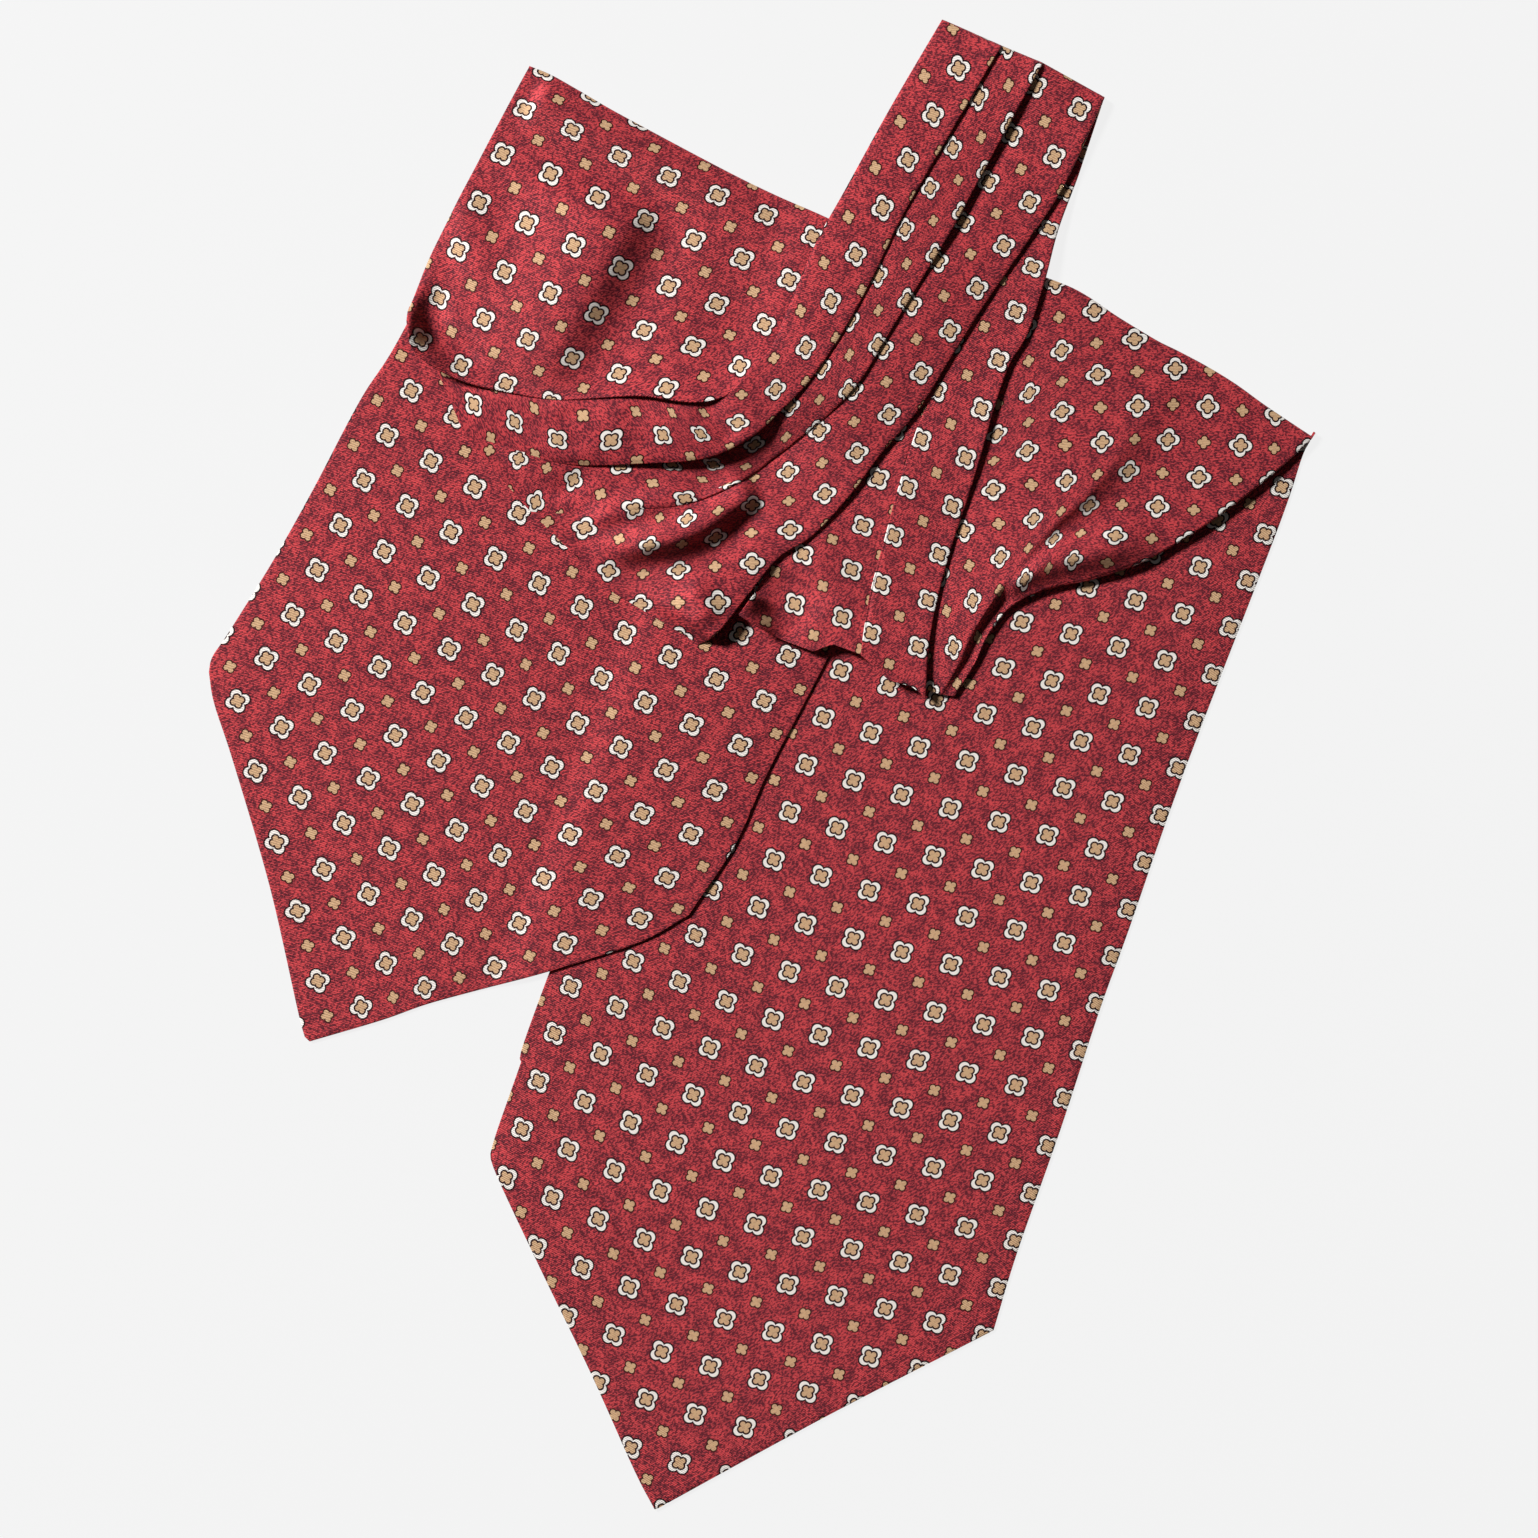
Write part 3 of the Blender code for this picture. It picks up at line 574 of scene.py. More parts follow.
# front of the neckband and the panel
front = {
    # edges from left to right: the upper strip's left edge, then the folded edge of each strip
    "columns": ("ax", "ay", "bx", "by", "cx", "cy", "dx", "dy",
                "aHeight", "bHeight", "cHeight", "dHeight", "aTuck", "tuck", "swell", "trough"),
    "sections": (
        (53.0, 217.85, 70.5, 210.0, 82.5, 205.0, 100.5, 195.0, 2.0, 3.7, 3.7, 2.4, 0.0, 0.0, 0.0, 0.0),
        (38.2, 192.5, 55.0, 183.5, 68.0, 178.5, 88.5, 169.0, 3.6, 4.5, 3.6, 2.4, 0.0, 5.0, 0.3, 0.0),
        (24.8, 168.0, 41.5, 160.0, 55.5, 155.5, 76.5, 150.5, 5.9, 6.4, 5.7, 3.6, 0.0, 5.0, 0.4, 0.0),
        (16.0, 152.0, 32.5, 141.5, 45.5, 139.0, 65.5, 134.5, 6.2, 6.7, 5.9, 4.2, 0.0, 5.0, 0.4, 0.0),
        (8.5, 134.5, 24.0, 126.0, 36.5, 124.0, 56.0, 119.5, 6.2, 6.7, 5.9, 4.2, 0.0, 5.0, 0.4, 0.0),
        (3.0, 121.5, 14.5, 112.0, 28.0, 110.5, 46.0, 103.5, 6.1, 6.8, 6.0, 4.3, 0.0, 5.0, 0.4, 0.0),
        (-2.5, 115.0, 6.0, 103.0, 16.0, 98.5, 35.0, 90.5, 6.8, 7.5, 4.8, 4.3, 0.0, 4.5, 0.4, 0.1),
        (-8.5, 108.5, -3.0, 95.0, 4.0, 89.5, 26.5, 79.0, 8.0, 8.2, 3.1, 4.4, 0.0, 2.5, 0.4, 0.2),
        (-16.0, 105.0, -16.5, 89.0, -5.5, 82.5, 15.5, 67.0, 7.6, 7.4, 2.7, 4.5, 0.6, 3.5, 0.3, 0.2),
        (-32.5, 107.0, -37.5, 87.5, -21.5, 76.0, 5.5, 60.5, 5.6, 5.4, 3.3, 4.7, 2.0, 4.5, 0.7, 0.4),
        (-47.0, 107.0, -56.5, 87.5, -41.0, 74.0, -2.5, 51.0, 4.6, 4.3, 3.5, 5.2, 4.0, 5.0, 0.8, 0.4),
        (-64.5, 107.5, -70.5, 91.5, -53.0, 73.5, -9.0, 42.5, 3.2, 3.4, 3.2, 6.0, 4.0, 4.0, 0.6, 0.4),
        (-82.0, 110.5, -79.5, 94.5, -61.5, 73.5, -13.5, 37.5, 2.4, 2.9, 2.8, 5.8, 4.0, 3.0, 0.4, 0.3),
        (-95.0, 116.0, -86.5, 96.0, -67.5, 74.0, -18.0, 35.0, 1.9, 2.4, 2.4, 3.6, 2.0, 2.0, 0.0, 0.0)),
    "steps": 12,
    "panelStart": 2.5,            # section beside which the turned-over blade begins
    "panelCorner": 7,             # section at its lower right corner
    # where one lies on another: sections, and how much of the fold is there
    "stripOverPanel": ((4.3, 5.5), (1.0, 0.0)),
    "panelOverStrip": ((7.0, 8.3), (0.0, 1.0)),
    "upperOverMiddle": ((9.8, 11.0), (1.0, 0.0)),
    "middleOverLower": ((8.4, 10.0), (1.0, 0.0)),
    # how far a hidden edge lies below the edge on top of it, and how the upper strip is vaulted
    "upperStep": ((0.0, 5.8, 7.0, 8.3, 9.4, 10.0), (0.8, 0.8, 3.5, 3.4, 1.6, 0.8)),
    "middleStep": ((0.0, 0.8, 1.9, 2.9, 5.2, 6.6), (0.9, 2.3, 2.3, 0.9, 0.9, 1.1)),
    "upperCrown": ((6.5, 9.0, 12.0, 13.0), (0.0, 1.2, 1.2, 0.0)),
    "crests": (0.2, 0.2, 0.25),   # along the folded edges of the upper, middle and lower strip
    "lowerSwell": 1.5,            # how much more the lower strip swells than the others
    # sections over which the fan comes down on to the left blade
    "settle": (10.3, 12.4),
    "settleUpper": (11.6, 13.0),  # the same for the upper strip's hidden edge
    "settleEdge": (11.9, 13.0),   # and for the lower strip's folded edge
    "troughAt": 0.28, "troughReach": 0.3, "troughDepth": 0.7,
    "endBulge": ((0.0, 0.0), (0.3, 2.0), (0.55, 3.6), (0.8, 1.6), (1.0, 0.0)),
    "endOutward": (-0.62, -0.785), "endSections": 2.0,
    # rows that close the strips' start: how far in, share of the drop, place along the print
    "closing": ((0.25, 1.0, -0.9), (0.45, 0.55, -0.2), (0.85, 0.22, 0.3), (1.5, 0.06, 0.6)),
    "closingDrop": 0.8,
    "creases": (
        # the middle strip's fold running out into the fan
        crease(((-14.5, 78.5), (-21, 77), (-31, 76), (-40, 74), (-47, 72), (-54.5, 67.5)),
               3.2, 4.6, 2.6, 0.35, 0.3),
        # the ridge below it and the trough beside that
        crease(((0, 80.5), (-8, 75.5), (-16, 70), (-25, 66), (-35, 63.2), (-44, 61), (-54, 59.5)),
               3.5, 6.5, 4.6, 0.1, 0.15),
        crease(((3, 79), (-4, 72), (-11, 64), (-20, 58.5), (-32.5, 56), (-46, 55.5)),
               5.0, 5.0, -1.6, 0.2, 0.2),
        # the upper strip's lower edge, and the hollow below it
        crease(((-92, 106), (-85, 99.5), (-75, 94.5), (-64.5, 91), (-54.5, 89.5), (-43.5, 89)),
               5.5, 3.2, 0.9, 0.25, 0.3),
        crease(((-75, 84), (-67.5, 80.5), (-60, 79.5), (-52.5, 83), (-45.5, 87)),
               3.5, 3.2, -1.2, 0.4, 0.4),
        # shallow waves across the upper strip
        crease(((-58, 105), (-54.5, 98), (-53, 90)), 6.0, 4.0, -0.7, 0.3, 0.3),
        crease(((-40, 105), (-35.5, 98), (-32.5, 90)), 5.0, 3.5, -0.6, 0.3, 0.3),
        crease(((-19, 106), (-13.5, 99.5), (-6, 93.5)), 5.0, 3.5, -1.2, 0.3, 0.3),
        # the upper strip falls away from the edge that lies on it
        crease(((-44, 107), (-31, 106.5), (-18, 104), (-8, 105), (0, 107)), 6.0, 6.0, -0.4, 0.3, 0.3),
        # the ridge from which the lower strip's corner falls away
        crease(((-22, 55), (-18, 47), (-14, 40)), 4.2, 7.0, 2.2, 0.4, 0.3)),
    "upperFlowers": (
        (57.6, 203.1, 7, 4), (50.2, 189.4, 7, 3), (35.5, 161.9, 7, 1), (20.3, 134.8, 7, -1),
        (13.1, 121.3, 7, -2), (4.3, 109.2, 7, -3), (-6.7, 99.3, 7, -4), (-17.5, 96.1, 7, -5),
        (-28.4, 95.8, 7, -6), (-43.6, 94.3, 7, -7), (-59.4, 94.6, 7, -8), (-71.7, 99.9, 7, -9),
        (-83.7, 105.2, 7, -10), (-6.1, 116.0, 6, -3), (47.7, 200.8, 6.5, 3.5), (25.4, 159.3, 6.5, 0.5),
        (-5.6, 107.5, 6.5, -3.5), (-16.7, 102.2, 6.5, -4.5), (-36.3, 102.8, 6.5, -6.5),
        (-51.8, 101.6, 6.5, -7.5), (-66.1, 103.7, 6.5, -8.5), (59.7, 192.0, 7.5, 3.5),
        (44.8, 165.1, 7.5, 1.5), (29.5, 137.9, 7.5, -0.5), (13.2, 111.3, 7.5, -2.5),
        (-8.8, 92.3, 7.5, -4.5), (-36.3, 88.5, 7.5, -6.5), (-65.8, 90.5, 7.5, -8.5),
        (-79.0, 95.5, 7.5, -9.5)),
    "middleFlowers": (
        (55.9, 179.7, 8, 2), (34.2, 142.3, 8, -1), (17.8, 115.4, 8, -3), (8.5, 104.3, 8, -4),
        (-2.0, 93.1, 8, -5), (-14.0, 87.3, 8, -6), (-26.0, 87.9, 8, -7), (-41.2, 87.3, 8, -8),
        (-54.7, 83.2, 8, -9), (-65.8, 76.8, 8, -10), (72.2, 198.2, 8.5, 3.5), (57.5, 170.4, 8.5, 1.5),
        (42.4, 145.8, 8.5, -0.5), (25.7, 119.3, 8.5, -2.5), (7.3, 95.5, 8.5, -4.5), (-4.4, 87.0, 8.5, -5.5),
        (-17.0, 83.2, 8.5, -6.5), (-31.6, 82.0, 8.5, -7.5), (-46.8, 78.8, 8.5, -8.5),
        (-58.8, 72.7, 8.5, -9.5), (-22.2, 77.4, 9, -7), (-36.9, 74.4, 9, -8), (-51.5, 69.2, 9, -9)),
    "lowerFlowers": (
        (80.1, 198.2, 11, 4), (66.4, 170.1, 11, 2), (51.5, 146.7, 11, 0), (35.4, 121.2, 11, -2),
        (26.6, 109.2, 11, -3), (17.0, 97.3, 11, -4), (7.9, 85.3, 11, -5), (-2.6, 75.6, 11, -6),
        (-13.3, 66.3, 11, -7), (-24.0, 56.9, 11, -8), (93.0, 191.4, 12, 4), (78.4, 164.2, 12, 2),
        (63.0, 138.8, 12, 0), (46.7, 114.1, 12, -2), (37.3, 102.0, 12, -3), (28.0, 90.9, 12, -4),
        (18.6, 78.9, 12, -5), (8.5, 68.4, 12, -6), (-2.6, 58.7, 12, -7), (-12.4, 47.1, 12, -8),
        (-21.6, 71.2, 10, -7), (-32.5, 63.6, 10, -8), (-44.5, 56.6, 10, -9), (-36.9, 74.4, 9, -8),
        (-51.5, 69.2, 9, -9)),
}
panel = {
    "fold": ((-67.5, 204.5), (-61, 201.8), (-53, 197.3), (-40, 189.8), (-4.5, 171), (19.5, 160),
             (24, 157.5)),
    "left": ((-67.5, 204.5), (-80, 181), (-91.5, 158.5), (-97.5, 146), (-102.5, 132)),
    "lower": ((-102.5, 132), (-102.5, 127.5), (-100, 119.5), (-88, 112.5), (-72, 108.5),
              (-57.5, 106.5), (-35.5, 107.5), (-21, 105.5), (-9, 108.5)),
    "lowerHeights": (4.6, 6.2, 6.0, 4.9, 4.7, 5.3, 7.4, 9.7, 10.0),
    "inside": (-60.0, 100.0),
    "rightFade": 2.2, "lowerFade": 5, "under": 1.9, "seamInset": 4.0,
    "foldReach": 4.5,             # how soon the cloth leaves its fold at the top
    "deepest": -0.6,              # how far a trough may go below the plain panel
    "creases": (
        # the swell along the fold at the top
        crease(((-68, 195), (-44, 182.5), (-8, 164.5), (12, 155)), 13, 6, 2.2, 0.05, 0.3),
        # the long swell, the valley beside it and two low ridges
        crease(((-35.5, 168), (-43.5, 150.5), (-54.5, 130.5), (-63, 115), (-68, 107)),
               10.0, 27, 6.4, 0.2, 0.1),
        crease(((-25, 166), (-35, 147), (-45.5, 126), (-55, 107)), 9, 7.0, -1.3, 0.15, 0.1),
        crease(((-12, 162), (-20, 140), (-29, 114)), 12, 9, 1.0, 0.3, 0.15),
        crease(((-84, 176), (-86, 158), (-80, 134)), 8, 6, 1.4, 0.3, 0.3)),
    "curl": (-104.0, 126.5, 11.0, 2.2),   # x, y, reach and height of the curled-up corner
    # that corner's rim, and the hollow inside it
    "rim": (
        crease(((-98.5, 142), (-102, 135.5), (-102.6, 129.5), (-100.5, 122.8), (-95.5, 118),
                (-88, 114.5)), 2.6, 2.4, 2.3, 0.3, 0.3),
        crease(((-92.5, 141), (-95.6, 132), (-94, 125.5), (-88, 120.8), (-80, 117.5)),
               3.4, 3.0, -1.8, 0.3, 0.3)),
    "flowers": (
        (-69.0, 191.4, 0, 0), (-82.2, 163.9, 0, -2), (-88.3, 150.2, 0, -3), (-93.9, 136.2, 0, -4),
        (-98.9, 123.6, 0, -5), (-55.0, 185.3, 1, 0), (-68.2, 157.8, 1, -2), (-80.7, 129.7, 1, -4),
        (-87.5, 116.3, 1, -5), (-26.9, 171.6, 3, 0), (-40.9, 144.6, 3, -2), (-55.0, 118.3, 3, -4),
        (-74.3, 111.0, 2, -5), (1.5, 160.4, 5, 0), (-12.9, 134.4, 5, -2), (-27.5, 109.5, 5, -4),
        (8.2, 141.4, 6, -1), (-6.1, 116.0, 6, -3), (4.3, 109.2, 7, -3), (13.1, 121.3, 7, -2),
        (-63.2, 202.6, 0, 1), (-49.3, 195.2, 1, 1), (-35.4, 187.9, 2, 1)),
}


def stripShares(count, bothFolded=False):
    # places across a strip, closer together towards its folded edges
    start, first = ([0, 0.02, 0.05, 0.09], 0.14) if bothFolded else ([], 0)
    return np.concatenate([start, np.linspace(first, 0.9, count), [0.935, 0.965, 1.0]])


def strip(left, right, leftHeight, rightHeight, tuck, shares, swell, crest=0.0):
    # cloth between two edges, begun a tuck further left, with a low crest along its right edge
    crestAt, crestWidth = 0.93, 2.2
    run = right - left
    width = np.linalg.norm(run, axis=1)[:, None]
    start = left - run / width * tuck[:, None]
    share = shares[None, :, None]
    plan = start[:, None] * (1 - share) + right[:, None] * share
    crown = np.sin(np.pi * shares)[None] * swell[:, None]
    puff = np.exp(-((shares[None] - crestAt) * width / crestWidth) ** 2) * crest
    height = leftHeight[:, None] + (rightHeight - leftHeight)[:, None] * shares[None] + crown + puff
    return np.dstack([plan, height])


def underEdge(height, outerHeight, outer, edge, tuck, step, share):
    # height of a tucked edge, a step below the slope of the strip that lies on it
    slope = (height - outerHeight) / np.linalg.norm(edge - outer, axis=1)
    return height - (step + slope * tuck) * share


def closedStart(grid, flat, target):
    # the first row drawn down over the fold at the end of the band
    run = grid[1] - grid[0]
    run = run / np.linalg.norm(run[:, :2], axis=1)[:, None]
    rows, first = [], []
    for inward, share, place in front["closing"]:
        row = grid[0] + run * inward
        row[:, 2] -= np.maximum(row[:, 2] - target, 0.0) * front["closingDrop"] * share
        rows.append(row)
        first.append(flat[0] + (flat[1] - flat[0]) * place)
    return np.concatenate([rows, grid[1:]]), np.concatenate([first, flat[1:]])


def shiftedEnd(grid, section, reach, table, direction):
    # the last sections moved by a table of shares of the width and distances
    at, offsets = np.array(table).T
    moved = np.interp(np.linspace(0, 1, grid.shape[1]), at, offsets)
    near = ease((section - (section[-1] - reach)) / reach)
    grid = grid.copy()
    grid[..., :2] += (near[:, None] * moved[None])[..., None] * np.asarray(direction)
    return grid


def frontGrids():
    cut, section, (a, b, c, d) = cutSections(front, "abcd")
    overPanel, underPanel, overMiddle, overLower, upperStep, middleStep, upperCrown = (
        between(section, *front[key]) for key in (
            "stripOverPanel", "panelOverStrip", "upperOverMiddle", "middleOverLower",
            "upperStep", "middleStep", "upperCrown"))
    whole = np.ones(len(section))
    upperCrest, middleCrest, lowerCrest = front["crests"]

    # upper strip
    upper = strip(a, b, cut["aHeight"], cut["bHeight"], cut["aTuck"] * underPanel,
                  stripShares(18, True), cut["swell"] + upperCrown, upperCrest * overMiddle[:, None])
    # middle strip, its end under the upper one
    tuck = cut["tuck"] * overMiddle
    startHeight = underEdge(cut["bHeight"], cut["aHeight"], a, b, tuck, upperStep, overMiddle)
    middle = strip(b, c, startHeight, cut["cHeight"], tuck, stripShares(20), cut["swell"],
                   middleCrest * overLower[:, None])
    # lower strip
    tuck = cut["tuck"] * overLower
    startHeight = underEdge(cut["cHeight"], cut["bHeight"] - upperStep, b, c, tuck, middleStep, overLower)
    shares = stripShares(36)
    lower = strip(c, d, startHeight, cut["dHeight"], tuck, shares, cut["swell"] * front["lowerSwell"],
                  lowerCrest)
    dip = ease(1.0 - np.abs(shares - front["troughAt"]) / front["troughReach"])
    lower[..., 2] -= front["troughDepth"] * cut["trough"][:, None] * dip[None]
    lower = shiftedEnd(lower, section, front["endSections"], front["endBulge"], front["endOutward"])

    # creases, and the fan's open end coming down on to the left blade
    settle, settleUpper, settleEdge = (between(section, front[key], (0.0, 1.0))[:, None]
                                       for key in ("settle", "settleUpper", "settleEdge"))
    for grid, fromLeft, toRight in ((upper, settleUpper, settle), (middle, settle, settle),
                                    (lower, settle, settleEdge)):
        lying = cloth["floor"] + climb(grid) + cloth["lying"]
        down = fromLeft + (toRight - fromLeft) * np.linspace(0, 1, grid.shape[1])[None] ** 2
        height = grid[..., 2] + creaseHeight(grid[..., :2], front["creases"])
        grid[..., 2] = np.maximum(height + (lying - height) * down, lying)
    seamHeight = upper[:, 0, 2]

    # folds
    upper = toOutline(upper, False, overPanel)
    strips = []
    for grid, flowers, rightShare in ((upper, "upperFlowers", overMiddle),
                                      (middle, "middleFlowers", overLower),
                                      (lower, "lowerFlowers", whole)):
        grid = toOutline(grid, True, rightShare)
        grid, flat = withRoll(grid, grid[..., :2], 1, True, rightShare)
        if flowers == "upperFlowers":
            grid, flat = withRoll(grid, flat, 1, False, overPanel)
        grid, flat = closedStart(grid, flat, cloth["floor"] + cloth["layer"])
        strips.append((grid, printMap(front[flowers])(flat)))
    return strips + [panelGrid(a, b, overPanel, underPanel, seamHeight)]


def panelGrid(a, b, overPanel, underPanel, seamHeight, cornerPower=20):
    # the panel shares its edge with the upper strip where neither is folded
    first, corner = round(front["panelStart"] * front["steps"]), front["panelCorner"] * front["steps"]
    seam = a + unit(b - a) * (panel["seamInset"] * overPanel)[:, None]
    right = seam[first:corner + 1]
    rightHeight = (seamHeight - panel["under"] * overPanel)[first:corner + 1]
    lowerSeam = np.column_stack([a, seamHeight])[corner:][::-1]
    share = underPanel[corner:][::-1]
    lowerEdge = evenly(np.column_stack([panel["lower"], panel["lowerHeights"]]), len(lowerSeam))
    lowerEdge = lowerEdge + (lowerSeam - lowerEdge) * (1 - share)[:, None]
    lowerEdge, lowerHeight = lowerEdge[:, :2], lowerEdge[:, 2]
    fold = evenly(panel["fold"], len(lowerSeam))
    inward = inwardOf(fold, panel["inside"])
    top = fold + inward * cloth["turnReach"]
    left = evenly(panel["left"], len(right))
    fade = np.linspace(1, 0, len(right))[:, None] ** cornerPower
    left = left + (top[0] - left[0]) * fade
    right = right + (top[-1] - right[0]) * fade
    left = left + (lowerEdge[0] - left[-1]) * np.linspace(0, 1, len(left))[:, None] ** cornerPower
    plan = betweenEdges(top, lowerEdge, left, right)

    # heights
    base = cloth["floor"] + climb(plan) + cloth["layer"]
    rows, cols = plan.shape[:2]
    shareRight = np.linspace(0, 1, cols)[None] ** panel["rightFade"]
    shareLower = np.linspace(0, 1, rows)[:, None] ** panel["lowerFade"]
    riseRight = (rightHeight - base[:, -1])[:, None]
    riseLower = (lowerHeight - base[-1])[None]
    riseCorner = rightHeight[-1] - base[-1, -1]
    rise = riseRight * shareRight + riseLower * shareLower - riseCorner * shareRight * shareLower
    fromFold = np.linalg.norm(plan - plan[:1], axis=2)
    free = (1 - shareRight) * (1 - shareLower) * ease(fromFold / panel["foldReach"])
    curlX, curlY, curlReach, curlHeight = panel["curl"]
    curl = curlHeight * ease(1.0 - np.hypot(plan[..., 0] - curlX, plan[..., 1] - curlY) / curlReach)
    curl = curl + creaseHeight(plan, panel["rim"])
    soft = free * creaseHeight(plan, panel["creases"]) + curl
    height = base + rise + np.maximum(soft, panel["deepest"])
    grid, flat = withRoll(np.dstack([plan, height]), plan, 0, True, share)
    grid, flat = turnedOver(grid, flat, top, inward, cloth["floor"] + climb(top))
    return grid, printMap(panel["flowers"])(flat)


frontCloth = makeCloth("frontCloth", frontGrids(), silkPrint)

# back of the neckband
back = {
    # left edge, pleat and right hem
    "columns": ("ax", "ay", "bx", "by", "cx", "cy", "aHeight", "bHeight", "cHeight", "pleatRise", "tuck"),
    "sections": (
        (53.0, 217.85, 85.5, 202.5, 100.5, 195.0, 0.5, 0.5, 0.5, 0.0, 0.0),
        (39.5, 192.0, 78.5, 179.5, 93.5, 174.0, 0.7, 0.6, 0.6, 0.0, 0.0),
        (31.0, 166.0, 71.0, 158.5, 87.0, 156.5, 2.6, 2.2, 2.0, 0.0, 0.0),
        (26.0, 148.5, 64.0, 140.5, 83.0, 141.5, 3.2, 3.2, 3.1, 0.0, 0.0),
        (19.5, 131.0, 56.5, 122.5, 78.0, 126.0, 3.2, 3.2, 3.3, 0.0, 0.0),
        (14.0, 118.0, 52.0, 111.5, 72.5, 116.5, 3.2, 3.2, 3.4, 0.0, 0.0),
        (11.0, 108.0, 47.0, 101.5, 68.0, 103.5, 3.2, 3.2, 3.6, 0.3, 0.0),
        (10.0, 98.0, 43.5, 92.0, 64.5, 91.0, 2.8, 3.2, 3.8, 0.8, 0.0),
        (9.5, 86.0, 39.5, 79.0, 60.5, 78.0, 2.8, 3.2, 3.6, 1.0, 4.0),
        (7.0, 71.5, 35.5, 64.0, 56.0, 64.5, 3.2, 3.2, 3.6, 1.0, 4.0),
        (3.0, 60.0, 32.0, 51.0, 51.5, 48.0, 3.6, 3.2, 4.0, 1.0, 4.0),
        (-1.5, 50.5, 30.0, 39.5, 49.0, 34.0, 4.0, 3.5, 4.4, 1.0, 4.0),
        (-6.5, 43.5, 29.0, 32.0, 48.0, 19.5, 4.0, 4.2, 4.2, 1.0, 2.0)),
    "steps": 12,
    "leftCols": 26, "tuckPower": 3,
    "pleated": ((5.6, 8.0), (0.0, 1.0)),
    "crest": 0.15,                # along the right strip's hem
    # how far the open end is moved in Y, by the share of the width
    "sagLeft": ((0.0, 0.0), (0.12, -1.5), (0.35, -3.0), (0.6, -3.5), (0.75, 0.5), (1.0, 0.0)),
    "sagRight": ((0.0, 0.0), (0.2, -0.5), (0.45, -2.0), (0.75, 0.5), (1.0, 0.0)),
    "sagSections": 2.5,
    "creaseFrom": 6,              # section
    "creases": (
        # the lip at the bottom left corner and the hollow inside it
        crease(((-3.5, 51), (-6, 45.5), (-5.5, 40.5), (-1.5, 36.5), (5, 33.5)), 6.0, 1.8, 4.8, 0.05, 0.4),
        crease(((9, 58), (6.5, 49), (7.5, 41), (13, 35.5)), 14.0, 6.0, -1.3, 0.25, 0.25),
        # a low ridge down the left strip
        crease(((16, 84), (17, 62), (20, 40)), 9.0, 4.0, 0.5, 0.4, 0.2)),
    "leftFlowers": (
        (39.2, 97.8, 0, 1), (34.2, 83.5, 0, 0), (29.7, 69.6, 0, -1), (26.4, 56.9, 0, -2),
        (23.7, 42.9, 0, -3), (12.3, 61.4, -1, -2), (9.9, 46.8, -1, -3)),
    "rightFlowers": (
        (88.9, 167.2, 3, 6), (79.3, 145.2, 3, 4), (69.3, 118.0, 3, 2), (59.7, 89.4, 3, 0),
        (52.0, 61.3, 3, -2), (45.8, 34.3, 3, -4), (51.2, 109.2, 2, 1), (42.8, 80.8, 2, -1),
        (35.0, 52.8, 2, -3), (32.1, 38.2, 2, -4)),
}


def backGrids():
    cut, section, (a, b, c) = cutSections(back, "abc")
    for edge in ("aHeight", "bHeight", "cHeight"):
        cut[edge] = np.maximum(cut[edge], cloth["lowest"])
    pleated = between(section, *back["pleated"])
    none, whole = np.zeros(len(a)), np.ones(len(a))

    # left strip, running on under the right one
    shares = np.linspace(0, 1, back["leftCols"])
    left = strip(a, b, cut["aHeight"], cut["bHeight"], none, shares, none)
    under = unit(b - a) * (cut["tuck"] * pleated)[:, None]
    left[..., :2] += under[:, None] * shares[None, :, None] ** back["tuckPower"]
    left = shiftedEnd(left, section, back["sagSections"], back["sagLeft"], (0.0, 1.0))
    lying = cloth["floor"] + climb(left) * pleated[:, None] + cloth["lying"]
    creased = np.maximum(left[..., 2] + creaseHeight(left[..., :2], back["creases"]), lying)
    left[..., 2] = np.where(section[:, None] > back["creaseFrom"], creased, left[..., 2])

    # right strip, folded along both edges
    right = strip(b, c, cut["bHeight"] + cut["pleatRise"] * pleated, cut["cHeight"], none,
                  stripShares(14, True), none, back["crest"])
    right = toOutline(toOutline(right, True, whole), False, pleated)
    right = shiftedEnd(right, section, back["sagSections"], back["sagRight"], (0.0, 1.0))
    right, flat = withRoll(right, right[..., :2], 1, True, whole)
    right, flat = withRoll(right, flat, 1, False, pleated)
    return [(left, printMap(back["leftFlowers"])(left[..., :2])),
            (right, printMap(back["rightFlowers"])(flat))]


backCloth = makeCloth("backCloth", backGrids(), silkPrint)

